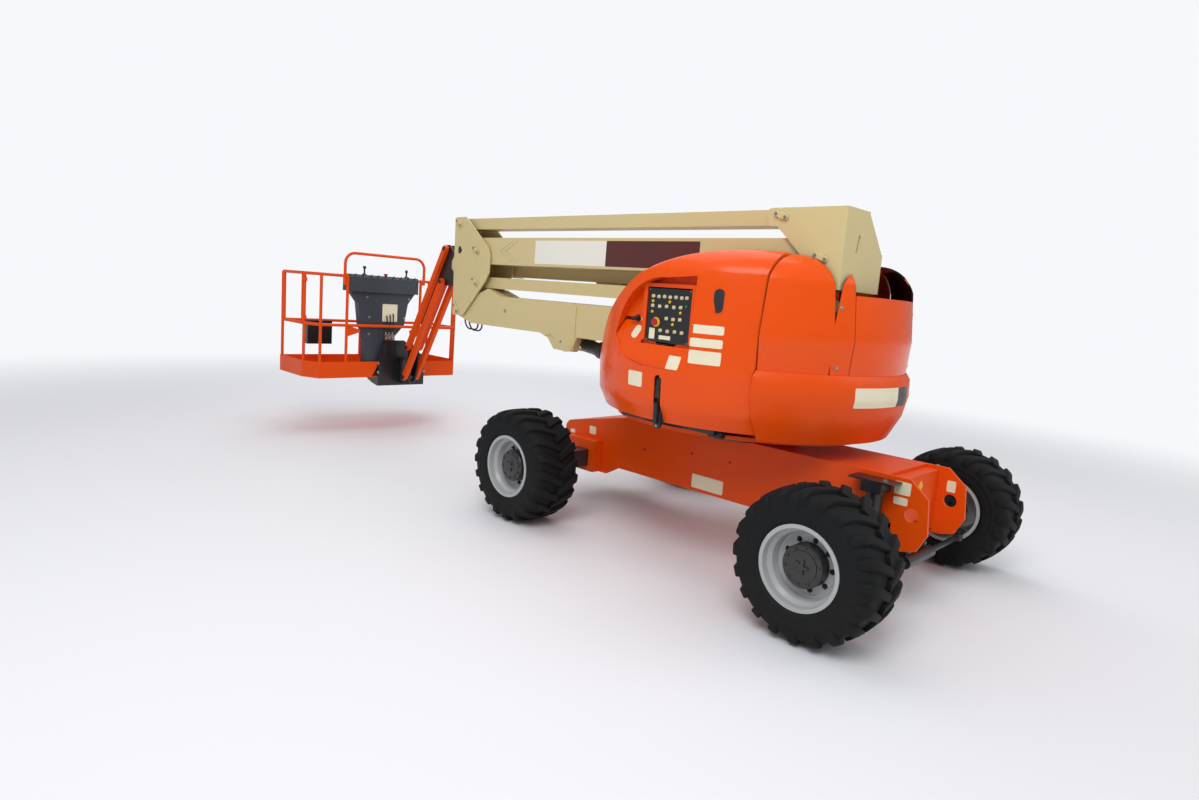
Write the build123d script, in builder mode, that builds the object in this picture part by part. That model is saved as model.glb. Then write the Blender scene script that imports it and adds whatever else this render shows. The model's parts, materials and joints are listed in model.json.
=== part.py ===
import os
from math import cos, sin, radians

from build123d import *

os.makedirs("parts", exist_ok=True)

# Self-propelled articulating boom lift, stowed. Millimetres, +Z up, ground at z = 0.
# +X points to the steered axle and the counterweight, -X to the platform, +Y to the machine's left.
# Places are given from the turntable's swing axis, which stands half way between the axles.

# Chassis and wheels
wheelbase = 2340
overall_width = 2340
tyre_radius = 407
tyre_width = 380
rim_seat_radius = 209.5
rim_flange_radius = 222
spindle_radius = 58
running_gap = 0.1
axle_height = tyre_radius
wheel_y = (overall_width - tyre_width) / 2
frame_half_width = 298
frame_plate = 20
deck_height = 790
belly_height = 367
axle_beam = 130
kingpin_y = 700
kingpin_radius = 25
steer_arm = 150
steer_rod_height = 278
lock_cap_height = 755

# Turntable
turntable_radius = 1035
counterweight_radius = 1060
skirt_height = 930
belt_top = 1320
base_top = 905
skin = 8
hood_edge_radius = 20

# Control recess, sight slot and latch slot of the near hood
recess_floor = -900
recess_frame = -955
recess_frame_x = (-170, 225)
recess_frame_top = 1768
ledge_back = (-900, 1530)
ledge_front = (-1010, 1265)
panel_x = (-135, 195)
panel_z = (1414, 1738)
panel_face = -948
panel_gap = 7
sight_slot = (381, 1687)
sight_slot_size = (145, 64)
latch_slot = (60, 1060)
latch_slot_size = (330, 52)

# Tower: two stacked parallelograms of equal length
link_length = 3335
tower_y = -360
bay_half_width = 124
side_plate = 12
pin_radius = 25
plate_overlap_gap = 14
lower_pivot = (466, 1448)
link_offset = (273, 254)
upper_step = (271, 530)
tower_clevis = (-1333, 1281)
tower_cylinder_foot = (-200, 1130)

# Main boom, fly section and jib
boom_y = -120
boom_half_width = 85
boom_bottom = 1770
boom_height = 260
boom_wall = 8
pad_flange = 28
boom_pivot = (640, 1990)
boom_mouth = -2560
boom_lug = (-1250, 1700)
boom_cylinder_foot = (270, 1500)
fly_half_width = 68
fly_height = 216
fly_nose = -3290
level_pivot = (-3400, 1850)
level_pin = (-3400, 1690)
level_cylinder_foot = (-2860, 1690)
jib_length = 1240
jib_angle = 59
jib_upper_pin = (-3560, 2010)
jib_lower_step = (-45, -330)
jib_cylinder_foot = (-3635, 1900)
jib_arm_inner = 50
jib_arm_width = 42
jib_arm_half = 31
jib_pin_half = 100

# Platform
platform_depth = 760
platform_width = 1830
platform_gap = 125
platform_y = -240
rotator_x = -4335
floor_height = 600
toe_board = 170
rail_height = 1680
mid_rail_height = 1150
rail_radius = 16
post_radius = 15
arch_bend = 110

inner_x = rotator_x - platform_gap
outer_x = inner_x - platform_depth
swing_x = (-outer_x - wheelbase / 2 - tyre_radius) / 2


def side(y):
    """Upright plane along the machine: its x is X from the swing axis and its y is height."""
    return Plane(origin=(swing_x, y, 0), x_dir=(1, 0, 0), z_dir=(0, -1, 0))


def across(x):
    """Upright plane across the machine: its x is Y and its y is height."""
    return Plane(origin=(swing_x + x, 0, 0), x_dir=(0, 1, 0), z_dir=(1, 0, 0))


def level(z):
    """Horizontal plane with its origin on the swing axis."""
    return Plane(origin=(swing_x, 0, z), x_dir=(1, 0, 0), z_dir=(0, 0, 1))


def plate(outline, y, thickness, mode=Mode.ADD):
    """A flat plate with this outline of (x, height), centred on y."""
    with BuildSketch(side(y)) as face:
        with BuildLine():
            Polyline(*outline, close=True)
        make_face()
    extrude(face.sketch, amount=thickness / 2, both=True, mode=mode)


def cross_pin(place, y, width, radius, mode=Mode.ADD):
    """A cylinder along Y through a pin's place, centred on y."""
    with BuildSketch(side(y)) as face:
        with Locations(place):
            Circle(radius)
    extrude(face.sketch, amount=width / 2, both=True, mode=mode)


def bar(start, end, radius):
    """A round bar between two points given from the swing axis."""
    a = Vector(swing_x + start[0], start[1], start[2])
    b = Vector(swing_x + end[0], end[1], end[2])
    with BuildSketch(Plane(origin=a, z_dir=b - a)) as face:
        Circle(radius)
    extrude(face.sketch, amount=(b - a).length)


def block(x, y, z, mode=Mode.ADD):
    """A box between two values of x, y and z."""
    with BuildSketch(level(z[0])) as face:
        with Locations(((x[0] + x[1]) / 2, (y[0] + y[1]) / 2)):
            Rectangle(x[1] - x[0], y[1] - y[0])
    extrude(face.sketch, amount=z[1] - z[0], mode=mode)


def finish(piece, name):
    piece.part.label = name
    export_step(piece.part, f"parts/{name}.step")


# ---------------------------------------------------------------- wheels
corners = (
    # name, x of the axle, side
    ("front_left", wheelbase / 2, 1),
    ("front_right", wheelbase / 2, -1),
    ("rear_left", -wheelbase / 2, 1),
    ("rear_right", -wheelbase / 2, -1),
)
half = tyre_width / 2
tyre_section = (
    # across the tyre, radius
    (half - 22, rim_seat_radius),
    (half - 22, rim_flange_radius + 1),
    (half - 4, 240),
    (half, 300),
    (half - 10, 375),
    (half - 60, tyre_radius),
)
rim_section = (
    # outward from the tyre's middle, radius
    (-176, 222), (-168, 222), (-168, rim_seat_radius), (168, rim_seat_radius), (168, 222), (176, 222),
    (176, 201), (140, 196), (118, 178), (72, 168), (62, 150), (62, 112), (124, 112), (130, 100),
    (130, 0), (101, 0), (101, spindle_radius + running_gap), (40, spindle_radius + running_gap),
    (40, 112), (46, 160), (100, 190), (40, 198), (-176, 201),
)
for name, x, hand in corners:
    hub_plane = Plane(origin=(swing_x + x, hand * wheel_y, axle_height), x_dir=(0, 1, 0), z_dir=(1, 0, 0))
    axle_line = Axis((swing_x + x, 0, axle_height), (0, 1, 0))
    with BuildPart() as tyre:
        with BuildSketch(hub_plane):
            with BuildLine():
                Polyline(*tyre_section, *[(-a, r) for a, r in reversed(tyre_section)], close=True)
            make_face()
        revolve(axis=axle_line)
    finish(tyre, name + "_tyre")
    with BuildPart() as rim:
        with BuildSketch(hub_plane):
            with BuildLine():
                Polyline(*[(hand * a, r) for a, r in rim_section], close=True)
            make_face()
        revolve(axis=axle_line)
    finish(rim, name + "_rim")

# ---------------------------------------------------------------- chassis
frame_outline = (
    (-1490, 290), (-1490, 600), (-1455, 640), (-700, deck_height), (1331, deck_height), (1441, 696),
    (1461, 497), (1410, 394), (1330, 372), (1255, 372), (1255, 520), (1085, 520), (1085, 372),
    (100, belly_height), (-870, 362), (-1000, 290),
)
front_x = wheelbase / 2
rear_x = -wheelbase / 2
beam = axle_beam / 2
with BuildPart() as chassis_frame:
    for hand in (1, -1):
        plate(frame_outline, hand * (frame_half_width - frame_plate / 2), frame_plate)
    inner = frame_half_width - frame_plate
    plate(((-1455, 620), (-1455, 640), (-700, deck_height), (1200, deck_height), (1200, deck_height - 20),
           (-700, deck_height - 20)), 0, 2 * inner)
    plate(((-1490, 300), (-1490, 600), (-1470, 600), (-1470, 300)), 0, 2 * inner)
    plate(((-870, 362), (-870, 382), (1040, 392), (1040, 372), (100, belly_height)), 0, 2 * inner)
    for x in (1060, 1260):
        block((x, x + 20), (-inner, inner), (400, deck_height - 20))
    block((1170, 1280), (-inner, inner), (deck_height - 32, deck_height - 20))
    for hand in (1, -1):
        y = sorted((hand * frame_half_width, hand * 400))
        block((rear_x - 185, rear_x + 120), y, (300, 545))
    block((rear_x - beam, rear_x + beam), (-450, 450), (axle_height - beam, axle_height + beam), Mode.SUBTRACT)
    for x in (1050, 1250):
        with BuildSketch(across(x)):
            with Locations((0, 455)):
                Circle(35)
        extrude(amount=40, mode=Mode.SUBTRACT)
    with BuildSketch(side(0)):
        with Locations((1363, 591)):
            Circle(40)
    extrude(amount=400, both=True, mode=Mode.SUBTRACT)
finish(chassis_frame, "chassis_frame")

with BuildPart() as rear_axle:
    block((rear_x - beam, rear_x + beam), (-790, 790), (axle_height - beam, axle_height + beam))
    for hand in (1, -1):
        with BuildSketch(Plane(origin=(swing_x + rear_x, hand * 785, axle_height), z_dir=(0, hand, 0))):
            Circle(105)
        extrude(amount=140)
        with BuildSketch(Plane(origin=(swing_x + rear_x, hand * 920, axle_height), z_dir=(0, hand, 0))):
            Circle(spindle_radius)
        extrude(amount=wheel_y + 98 - 920)
finish(rear_axle, "rear_axle")

with BuildPart() as front_axle:
    block((front_x - beam, front_x + beam), (-600, 600), (axle_height - beam, axle_height + beam))
    for hand in (1, -1):
        y = sorted((hand * 590, hand * kingpin_y))
        block((front_x - 40, front_x + 40), y, (axle_height - beam, axle_height + beam))
        with BuildSketch(level(axle_height - 75)):
            with Locations((front_x, hand * kingpin_y)):
                Circle(50)
        extrude(amount=150)
        with BuildSketch(level(axle_height - 75)):
            with Locations((front_x, hand * kingpin_y)):
                Circle(kingpin_radius + running_gap)
        extrude(amount=150, mode=Mode.SUBTRACT)
    with BuildSketch(across(1040)):
        with Locations((0, 455)):
            Circle(35)
    extrude(amount=260)
    block((front_x - beam, front_x + beam), (-60, 60), (axle_height, 520))
finish(front_axle, "front_axle")

for name, x, hand in corners[:2]:
    with BuildPart() as knuckle:
        y = sorted((hand * 640, hand * 800))
        for z in (axle_height - 100, axle_height + 80):
            block((front_x - 50, front_x + 50), y, (z, z + 20))
        y = sorted((hand * 770, hand * 800))
        block((front_x - 50, front_x + 50), y, (axle_height - 100, axle_height + 100))
        with BuildSketch(Plane(origin=(swing_x + front_x, hand * 795, axle_height), z_dir=(0, hand, 0))):
            Circle(105)
        extrude(amount=130)
        with BuildSketch(Plane(origin=(swing_x + front_x, hand * 920, axle_height), z_dir=(0, hand, 0))):
            Circle(spindle_radius)
        extrude(amount=wheel_y + 98 - 920)
        with BuildSketch(level(axle_height - 100)):
            with Locations((front_x, hand * kingpin_y)):
                Circle(kingpin_radius)
        extrude(amount=200)
        y = sorted((hand * 640, hand * 700))
        block((front_x, front_x + steer_arm + 30), y, (axle_height - 100, axle_height - 80))
    finish(knuckle, name + "_knuckle")

steer_x = front_x + steer_arm
with BuildPart() as steering_cylinder:
    with BuildSketch(Plane(origin=(swing_x + steer_x, -190, steer_rod_height), z_dir=(0, 1, 0))):
        Circle(36)
        Circle(18 + running_gap, mode=Mode.SUBTRACT)
    extrude(amount=380)
    for y in (-150, 110):
        block((front_x + beam - 20, steer_x - 10), (y, y + 40), (steer_rod_height - 10, axle_height - beam))
    with BuildSketch(Plane(origin=(swing_x + steer_x, -200, steer_rod_height), z_dir=(0, 1, 0))):
        Circle(18 + running_gap)
    extrude(amount=400, mode=Mode.SUBTRACT)
finish(steering_cylinder, "steering_cylinder")

with BuildPart() as steering_rod:
    with BuildSketch(Plane(origin=(swing_x + steer_x, -690, steer_rod_height), z_dir=(0, 1, 0))):
        Circle(18)
    extrude(amount=1380)
    for hand in (1, -1):
        with BuildSketch(level(steer_rod_height - 22)):
            with Locations((steer_x, hand * 670)):
                Circle(28)
        extrude(amount=44)
finish(steering_rod, "steering_rod")

with BuildPart() as axle_locks:
    for hand in (1, -1):
        with BuildSketch(level(axle_height + beam)):
            with Locations((front_x, hand * 365)):
                Circle(46)
        extrude(amount=lock_cap_height - axle_height - beam)
        y = sorted((hand * frame_half_width, hand * 430))
        block((front_x - 60, front_x + 60), y, (lock_cap_height - 60, lock_cap_height))
        block((front_x - 140, front_x + 120), y, (lock_cap_height, lock_cap_height + 10))
finish(axle_locks, "axle_lock_cylinders")

# ---------------------------------------------------------------- turntable
inner_bay = tower_y + bay_half_width
near_bay = tower_y - bay_half_width
tower_plates = (near_bay - side_plate / 2, inner_bay + side_plate / 2)
lower_link_pivot = (lower_pivot[0] + link_offset[0], lower_pivot[1] + link_offset[1])

hoods = (
    # name, side, y of the inner edge
    ("near_hood", -1, 560),
    ("far_hood", 1, 90),
)
hood_hinge_stations = (300, 490)
hood_hinge_height = 1940

with BuildPart() as swing_bearing:
    with BuildSketch(level(deck_height)):
        Circle(420)
        Circle(320, mode=Mode.SUBTRACT)
    extrude(amount=base_top - 25 - deck_height)
finish(swing_bearing, "swing_bearing")

turret_outline = (
    (-290, base_top), (-290, 1110), (-230, 1190), (-150, 1190), (180, 1120), (390, 1460), (430, 1520), (520, 1520),
    (690, 1755), (790, 1755), (860, 1640), (860, belt_top + 15), (600, belt_top + 15), (600, base_top),
)
with BuildPart() as turntable_frame:
    with BuildSketch(level(base_top - 25)):
        Circle(880)
    extrude(amount=25)
    for y in tower_plates:
        plate(turret_outline, y, side_plate)
    for pin in (lower_pivot, lower_link_pivot, tower_cylinder_foot):
        cross_pin(pin, tower_y, 2 * bay_half_width + 2 * side_plate + 16, pin_radius)
    for name, hand, inner_edge in hoods:
        post = sorted((hand * (inner_edge - 12), hand * (inner_edge - 32)))
        lug = sorted((hand * (inner_edge - 12), hand * (inner_edge + 22)))
        block((280, 580), post, (base_top, 1920))
        for x in hood_hinge_stations:
            block((x, x + 40), lug, (hood_hinge_height - 40, hood_hinge_height))
            bar((x, hand * (inner_edge + 12), hood_hinge_height), (x + 90, hand * (inner_edge + 12), hood_hinge_height), 8)
finish(turntable_frame, "turntable_frame")

belt_section = (
    # radius, height
    (counterweight_radius - 95, base_top), (counterweight_radius - 25, 1050), (counterweight_radius, 1180),
    (counterweight_radius - 6, 1285), (counterweight_radius - 30, belt_top),
)
belt_front = 606
swing_line = Axis((swing_x, 0, 0), (0, 0, 1))
with BuildPart() as counterweight:
    with BuildSketch(side(0)):
        with BuildLine():
            Polyline((0, base_top), *belt_section, (0, belt_top), close=True)
        make_face()
    revolve(axis=swing_line)
    block((belt_front, 1200), (-1200, 1200), (800, 1500), Mode.INTERSECT)
finish(counterweight, "counterweight")


def cover_body(radius, inset, bottom, top):
    """Solid of revolution under the moulded covers, moved in by inset."""
    r = radius - inset
    with BuildPart() as body:
        with BuildSketch(side(0)):
            with BuildLine():
                shoulder = (r - 30, top - 155)
                Polyline((r - 300, top - inset), (0, top - inset), (0, bottom), (r - 70, bottom),
                         (r - 12, bottom + 120), (r, bottom + 320), shoulder)
                ThreePointArc(shoulder, (r - 110, top - 42 - inset), (r - 300, top - inset))
            make_face()
        revolve(axis=Axis((swing_x, 0, 0), (0, 0, 1)))
    return body.part


def hood_body(inset):
    """The side hood as a solid block: the round cover under an arched roof line."""
    with BuildPart() as body:
        add(cover_body(turntable_radius, inset, skirt_height, 2000))
        with BuildSketch(side(0)) as roof:
            with BuildLine():
                Polyline((-640 + inset, 700), (598 - inset, 700), (598 - inset, 1995 - inset), (560, 1993 - inset))
                ThreePointArc((560, 1993 - inset), (-40, 1890 - inset), (-480 + inset, 1620 - inset))
                ThreePointArc((-480 + inset, 1620 - inset), (-650 + inset, 1400), (-710 + inset, 1200))
                Line((-710 + inset, 1200), (-640 + inset, 700))
            make_face()
        extrude(roof.sketch, amount=1200, both=True, mode=Mode.INTERSECT)
        if not inset:
            roof_edges = body.edges().filter_by(lambda e: e.length > 800 and e.center().Z > 1800)
            seam_edges = body.edges().filter_by(lambda e: abs(e.center().X - swing_x - 598) < 1 and e.length > 300)
            fillet(roof_edges + seam_edges, hood_edge_radius)
    return body.part


def recess_body(grow):
    """The near hood's control recess as a solid, grown on its hidden sides."""
    with BuildPart() as body:
        with BuildSketch(side(recess_floor + grow)) as mouth:
            with BuildLine():
                Polyline((60, 1262), (245, 1262), (245, 1820), (40, 1803))
                ThreePointArc((40, 1803), (-245, 1700), (-370, 1500))
                ThreePointArc((-370, 1500), (-382, 1395), (-300, 1320))
                ThreePointArc((-300, 1320), (-130, 1275), (60, 1262))
            make_face()
            if grow:
                offset(amount=grow)
        extrude(mouth.sketch, amount=400)
        back, front = Vector(*ledge_back), Vector(*ledge_front)
        slope = (front - back).normalized()
        lower = back + Vector(-slope.Y, slope.X) * -grow
        upper_end, lower_end = lower - slope * 200, lower + slope * 700
        with BuildSketch(across(-600)) as wedge:
            with BuildLine():
                Polyline((upper_end.X, upper_end.Y), (lower_end.X, lower_end.Y), (-600, lower_end.Y),
                         (-600, upper_end.Y), close=True)
            make_face()
        extrude(wedge.sketch, amount=1100, mode=Mode.SUBTRACT)
        frame_x = (recess_frame_x[0] + grow, recess_frame_x[1] - grow)
        block(frame_x, (recess_frame + grow, recess_floor + 50), (1200, recess_frame_top - grow), Mode.SUBTRACT)
    return body.part


hood_outer = hood_body(0)
hood_inner = hood_body(skin)
for name, hand, inner_edge in hoods:
    web = sorted((hand * (inner_edge + 2), hand * (inner_edge + 22)))
    with BuildPart() as hinge_webs:
        for x in hood_hinge_stations:
            block((x + 45, x + 85), web, (hood_hinge_height, 2100))
        add(hood_outer, mode=Mode.INTERSECT)
    with BuildPart() as hood:
        add(hood_outer)
        if hand < 0:
            add(hood_inner - recess_body(skin), mode=Mode.SUBTRACT)
            add(recess_body(0), mode=Mode.SUBTRACT)
            opening_x = (panel_x[0] - panel_gap, panel_x[1] + panel_gap)
            opening_z = (panel_z[0] - panel_gap, panel_z[1] + panel_gap)
            block(opening_x, (recess_frame - 5, recess_frame + 30), opening_z, Mode.SUBTRACT)
            for place, (length, width) in ((sight_slot, sight_slot_size), (latch_slot, latch_slot_size)):
                with BuildSketch(side(-1100)):
                    with Locations(place):
                        SlotOverall(length, width, rotation=90)
                extrude(amount=-150, mode=Mode.SUBTRACT)
        else:
            add(hood_inner, mode=Mode.SUBTRACT)
        y = sorted((hand * inner_edge, hand * 1200))
        block((-900, 700), y, (skirt_height + skin, 2100), Mode.INTERSECT)
        add(hinge_webs.part)
        for x in hood_hinge_stations:
            y = hand * (inner_edge + 12)
            bar((x + 45, y, hood_hinge_height), (x + 85, y, hood_hinge_height), 16)
            with BuildSketch(across(x + 44)):
                with Locations((y, hood_hinge_height)):
                    Circle(8 + running_gap)
            extrude(amount=42, mode=Mode.SUBTRACT)
    finish(hood, name)

with BuildPart() as rear_covers:
    add(cover_body(counterweight_radius - 25, 0, belt_top - 120, 1985))
    add(cover_body(counterweight_radius - 25, skin, belt_top - 120, 1985), mode=Mode.SUBTRACT)
    block((belt_front, 1200), (-1200, 1200), (belt_top, 2100), Mode.INTERSECT)
    block((500, 885), (-520, 330), (belt_top - 1, 2100), Mode.SUBTRACT)
    block((885, 1200), (-394, 394), (1775, 2100), Mode.SUBTRACT)
    for y in (-400, 394):
        block((885, 1200), (y, y + 6), (belt_top - 1, 2100), Mode.SUBTRACT)
finish(rear_covers, "rear_covers")

with BuildPart() as engine:
    block((-380, 440), (180, 640), (base_top, 1480))
finish(engine, "engine")
with BuildPart() as hydraulic_tank:
    block((-360, 380), (-860, -640), (base_top, 1230))
finish(hydraulic_tank, "hydraulic_tank")
with BuildPart() as control_panel:
    block(panel_x, (panel_face, -870), panel_z)
    block((0, 100), (-895, -840), (1230, panel_z[0] + 5))
finish(control_panel, "ground_control_panel")


# ---------------------------------------------------------------- tower
def box_beam(outline, y, half_width, wall, hollow):
    """A box-section arm along the machine: its side outline, hollowed over the straight stretch."""
    plate(outline, y, 2 * half_width)
    x, z = hollow
    block(x, (y - half_width + wall, y + half_width - wall), z, Mode.SUBTRACT)


def bearing(place, y, half_width, radius):
    """A bored sleeve across an arm that turns on a pin."""
    cross_pin(place, y, 2 * half_width, radius)
    cross_pin(place, y, 2 * half_width + 2, pin_radius + running_gap, Mode.SUBTRACT)


def shifted(place, step):
    return (place[0] + step[0], place[1] + step[1])


lower_tip = (lower_pivot[0] - link_length, lower_pivot[1])
lower_link_tip = shifted(lower_tip, link_offset)
mid_pivot = shifted(lower_tip, upper_step)
mid_tip = (mid_pivot[0] + link_length, mid_pivot[1])
upper_link_step = (-283, 238)
upper_link_pivot = shifted(mid_pivot, upper_link_step)
upper_link_tip = shifted(mid_tip, upper_link_step)
arm_half = bay_half_width - plate_overlap_gap

boom_heel = (shifted(lower_tip, (-30, -52)), shifted(lower_tip, (200, -118)))
with BuildPart() as lower_boom:
    (x0, z0), (x1, z1) = lower_tip, lower_pivot
    box_beam(((x0 - 50, z0 - 30), *boom_heel, (-1700, z0 - 118), (-1600, z0 - 150),
              (-1520, 1215), (-1300, 1215), (-1260, z1 - 118), (x1 - 160, z1 - 118), (x1 + 30, z1 - 52),
              (x1 + 50, z1 - 30), (x1 + 50, z1 + 30), (x1 + 30, z1 + 52), (x1 - 160, z1 + 142),
              (x0 + 620, z0 + 142), (x0 + 430, z0 + 200), (x0 + 150, z0 + 90), (x0 - 30, z0 + 52),
              (x0 - 50, z0 + 30)), tower_y, arm_half, 9, ((x0 + 240, x1 - 170), (z0 - 109, z0 + 133)))
    for hand in (1, -1):
        with BuildSketch(side(tower_y + hand * (arm_half + 4))) as cheek:
            with BuildLine():
                Polyline((-1640, 1310), (-1560, 1330), (-1500, 1290), (-1450, 1240))
                ThreePointArc((-1450, 1240), (-1340, 1215), (-1280, 1270))
                Polyline((-1280, 1270), (-1280, 1560), (-1310, 1590), (-1640, 1590), (-1640, 1310))
            make_face()
        extrude(amount=4, both=True)
    for pin in (lower_tip, lower_pivot):
        bearing(pin, tower_y, arm_half, 50)
    block((-1560, -1200), (tower_y - 50, tower_y + 50), (1150, 1330), Mode.SUBTRACT)
    for hand in (1, -1):
        cross_pin(tower_clevis, tower_y + hand * 92, 60, 30)
finish(lower_boom, "lower_boom")

hose_radius = 7
hose_loops = (
    # y, depth of the loop under the boom's pin
    (tower_y - 40, 178), (tower_y + 5, 190),
)
with BuildPart() as hoses:
    (x0, z0), (x1, z1) = boom_heel
    heel_normal = Vector(z1 - z0, 0, x0 - x1).normalized()
    root = Vector(swing_x + x0 + 0.22 * (x1 - x0), 0, z0 + 0.22 * (z1 - z0))
    turn = root + heel_normal * 55
    for y, depth in hose_loops:
        low = lower_tip[1] - depth
        with BuildLine() as hose_line:
            FilletPolyline((root.X, y, root.Z), (turn.X, y, turn.Z), (swing_x + x0 + 92, y, low),
                           (swing_x + x1 - 25, y, low), (swing_x + x1 + 15, y, z1 - 45), (swing_x + x1 + 15, y, z1),
                           radius=[60, 75, 60, 40])
        with BuildSketch(Plane(origin=hose_line.line @ 0, z_dir=hose_line.line % 0)):
            Circle(hose_radius)
        sweep(path=hose_line.line)
finish(hoses, "tower_hoses")

with BuildPart() as lower_link:
    (x0, z0), (x1, z1) = lower_link_tip, lower_link_pivot
    box_beam(((x0 - 45, z0 - 25), (x0 - 25, z0 - 48), (x1 + 25, z1 - 48), (x1 + 45, z1 - 25), (x1 + 45, z1 + 25),
              (x1 + 25, z1 + 48), (x0 - 25, z0 + 48), (x0 - 45, z0 + 25)),
             tower_y, 70, 6, ((x0 + 100, x1 - 100), (z0 - 42, z0 + 42)))
    for pin in (lower_link_tip, lower_link_pivot):
        bearing(pin, tower_y, arm_half, 42)
finish(lower_link, "lower_link")

upright_outline = (
    (-2950, 2268), (-2784, 2270), (-2434, 2004), (-2400, 1935), (-2400, 1786), (-2453, 1707), (-2767, 1394),
    (-2930, 1385),
)
with BuildPart() as tower_upright:
    for y in tower_plates:
        with BuildSketch(side(y)) as cheek:
            with BuildLine():
                Polyline(*upright_outline, close=True)
            make_face()
            fillet(cheek.vertices(), 22)
        extrude(amount=side_plate / 2, both=True)
        with BuildSketch(side(y)):
            with Locations((-2839, 1973)):
                Circle(16)
        extrude(amount=side_plate, both=True, mode=Mode.SUBTRACT)
    block((-2950, -2938), (near_bay, inner_bay), (1560, 2180))
    for pin in (lower_tip, lower_link_tip, mid_pivot, upper_link_pivot):
        cross_pin(pin, tower_y, 2 * bay_half_width + 2 * side_plate + 16, pin_radius)
finish(tower_upright, "tower_upright")

with BuildPart() as mid_boom:
    (x0, z0), (x1, z1) = mid_pivot, mid_tip
    box_beam(((x0 - 50, z0 - 60), (x0 - 20, z0 - 117), (x1 + 20, z1 - 117), (x1 + 50, z1 - 60),
              (x1 + 50, z1 + 60), (x1 + 20, z1 + 110), (x0 - 20, z0 + 110), (x0 - 50, z0 + 60)),
             tower_y, arm_half, 8, ((x0 + 100, x1 - 100), (z0 - 109, z0 + 102)))
    for pin in (mid_pivot, mid_tip):
        bearing(pin, tower_y, arm_half, 50)
finish(mid_boom, "mid_boom")

with BuildPart() as upper_link:
    (x0, z0), (x1, z1) = upper_link_pivot, upper_link_tip
    box_beam(((x0 - 45, z0 - 25), (x0 - 25, z0 - 52), (x1 + 25, z1 - 52), (x1 + 45, z1 - 25), (x1 + 45, z1 + 20),
              (x1 + 25, z1 + 42), (x0 - 25, z0 + 42), (x0 - 45, z0 + 20)),
             tower_y, 90, 6, ((x0 + 100, x1 - 100), (z0 - 46, z0 + 36)))
    for pin in (upper_link_pivot, upper_link_tip):
        bearing(pin, tower_y, arm_half, 40)
finish(upper_link, "upper_link")

riser_near = ((354, 2250), (369, 2157), (431, 2153), (605, 1988), (640, 1800), (870, 1800), (870, 2262), (380, 2262))
riser_foot = ((560, 1990), (300, 1770), (180, 1600), (150, 1500), (200, 1420), (300, 1420), (380, 1480), (400, 1560),
              (620, 1800), (870, 1800))
riser_inner = ((354, 2250), (369, 2157), (431, 2153), *riser_foot, (870, 2262), (380, 2262))
riser_far = ((540, 2070), *riser_foot, (870, 2036), (720, 2080))
far_plate_y = 2 * boom_y - tower_plates[1]
with BuildPart() as tower_riser:
    plate(riser_near, tower_plates[0], side_plate)
    plate(riser_inner, tower_plates[1], side_plate)
    plate(riser_far, far_plate_y, side_plate)
    with BuildSketch(across(858)):
        with BuildLine():
            Polyline((tower_plates[0] + 6, 2262), (-236, 2262), (far_plate_y - 6, 2037), (far_plate_y - 6, 1800),
                     (tower_plates[0] + 6, 1800), close=True)
        make_face()
        with Locations((-330, 2065)):
            SlotOverall(110, 26, rotation=80, mode=Mode.SUBTRACT)
    extrude(amount=12)
    for pin in (mid_tip, upper_link_tip):
        cross_pin(pin, tower_y, 2 * bay_half_width + 2 * side_plate + 16, pin_radius)
    for pin in (boom_pivot, boom_cylinder_foot):
        cross_pin(pin, boom_y, far_plate_y - tower_plates[1] + side_plate + 12, pin_radius)
finish(tower_riser, "tower_riser")

# ---------------------------------------------------------------- main boom and fly
boom_top = boom_bottom + boom_height
boom_axis_z = boom_bottom + boom_height / 2
with BuildPart() as main_boom:
    block((boom_mouth, 600), (boom_y - boom_half_width, boom_y + boom_half_width), (boom_bottom, boom_top))
    block((boom_mouth - 1, 420), (boom_y - boom_half_width + boom_wall, boom_y + boom_half_width - boom_wall),
          (boom_bottom + boom_wall, boom_top - boom_wall), Mode.SUBTRACT)
    plate(((600, boom_bottom), (600, boom_top), (690, boom_top), (700, boom_top - 30), (700, 1950), (660, 1900)),
          boom_y, 2 * boom_half_width)
    bearing(boom_pivot, boom_y, boom_half_width, 45)
    for y in (boom_y - 45, boom_y + 45):
        plate(((-1400, boom_bottom), (-1290, 1665), (-1210, 1665), (-1100, boom_bottom)), y, 16)
    for hand in (1, -1):
        cross_pin(boom_lug, boom_y + hand * 52, 30, 28)
    collar = (boom_mouth, boom_mouth + 60)
    block(collar, (boom_y - boom_half_width - 8, boom_y + boom_half_width + 8), (boom_bottom - 8, boom_top + 8))
    block((boom_mouth - 1, boom_mouth + 61),
          (boom_y - boom_half_width + boom_wall, boom_y + boom_half_width - boom_wall),
          (boom_bottom + boom_wall, boom_top - boom_wall), Mode.SUBTRACT)
finish(main_boom, "main_boom")

fly_low, fly_high = boom_axis_z - fly_height / 2, boom_axis_z + fly_height / 2
with BuildPart() as wear_pads:
    block((boom_mouth - pad_flange, boom_mouth), (boom_y - boom_half_width - 6, boom_y + boom_half_width + 6),
          (boom_bottom - 6, boom_top + 6))
    block((boom_mouth, boom_mouth + 120), (boom_y - boom_half_width + boom_wall, boom_y + boom_half_width - boom_wall),
          (boom_bottom + boom_wall, boom_top - boom_wall))
    block((boom_mouth - 50, boom_mouth + 121), (boom_y - fly_half_width - running_gap, boom_y + fly_half_width + running_gap),
          (fly_low - running_gap, fly_high + running_gap), Mode.SUBTRACT)
finish(wear_pads, "boom_wear_pads")

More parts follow.
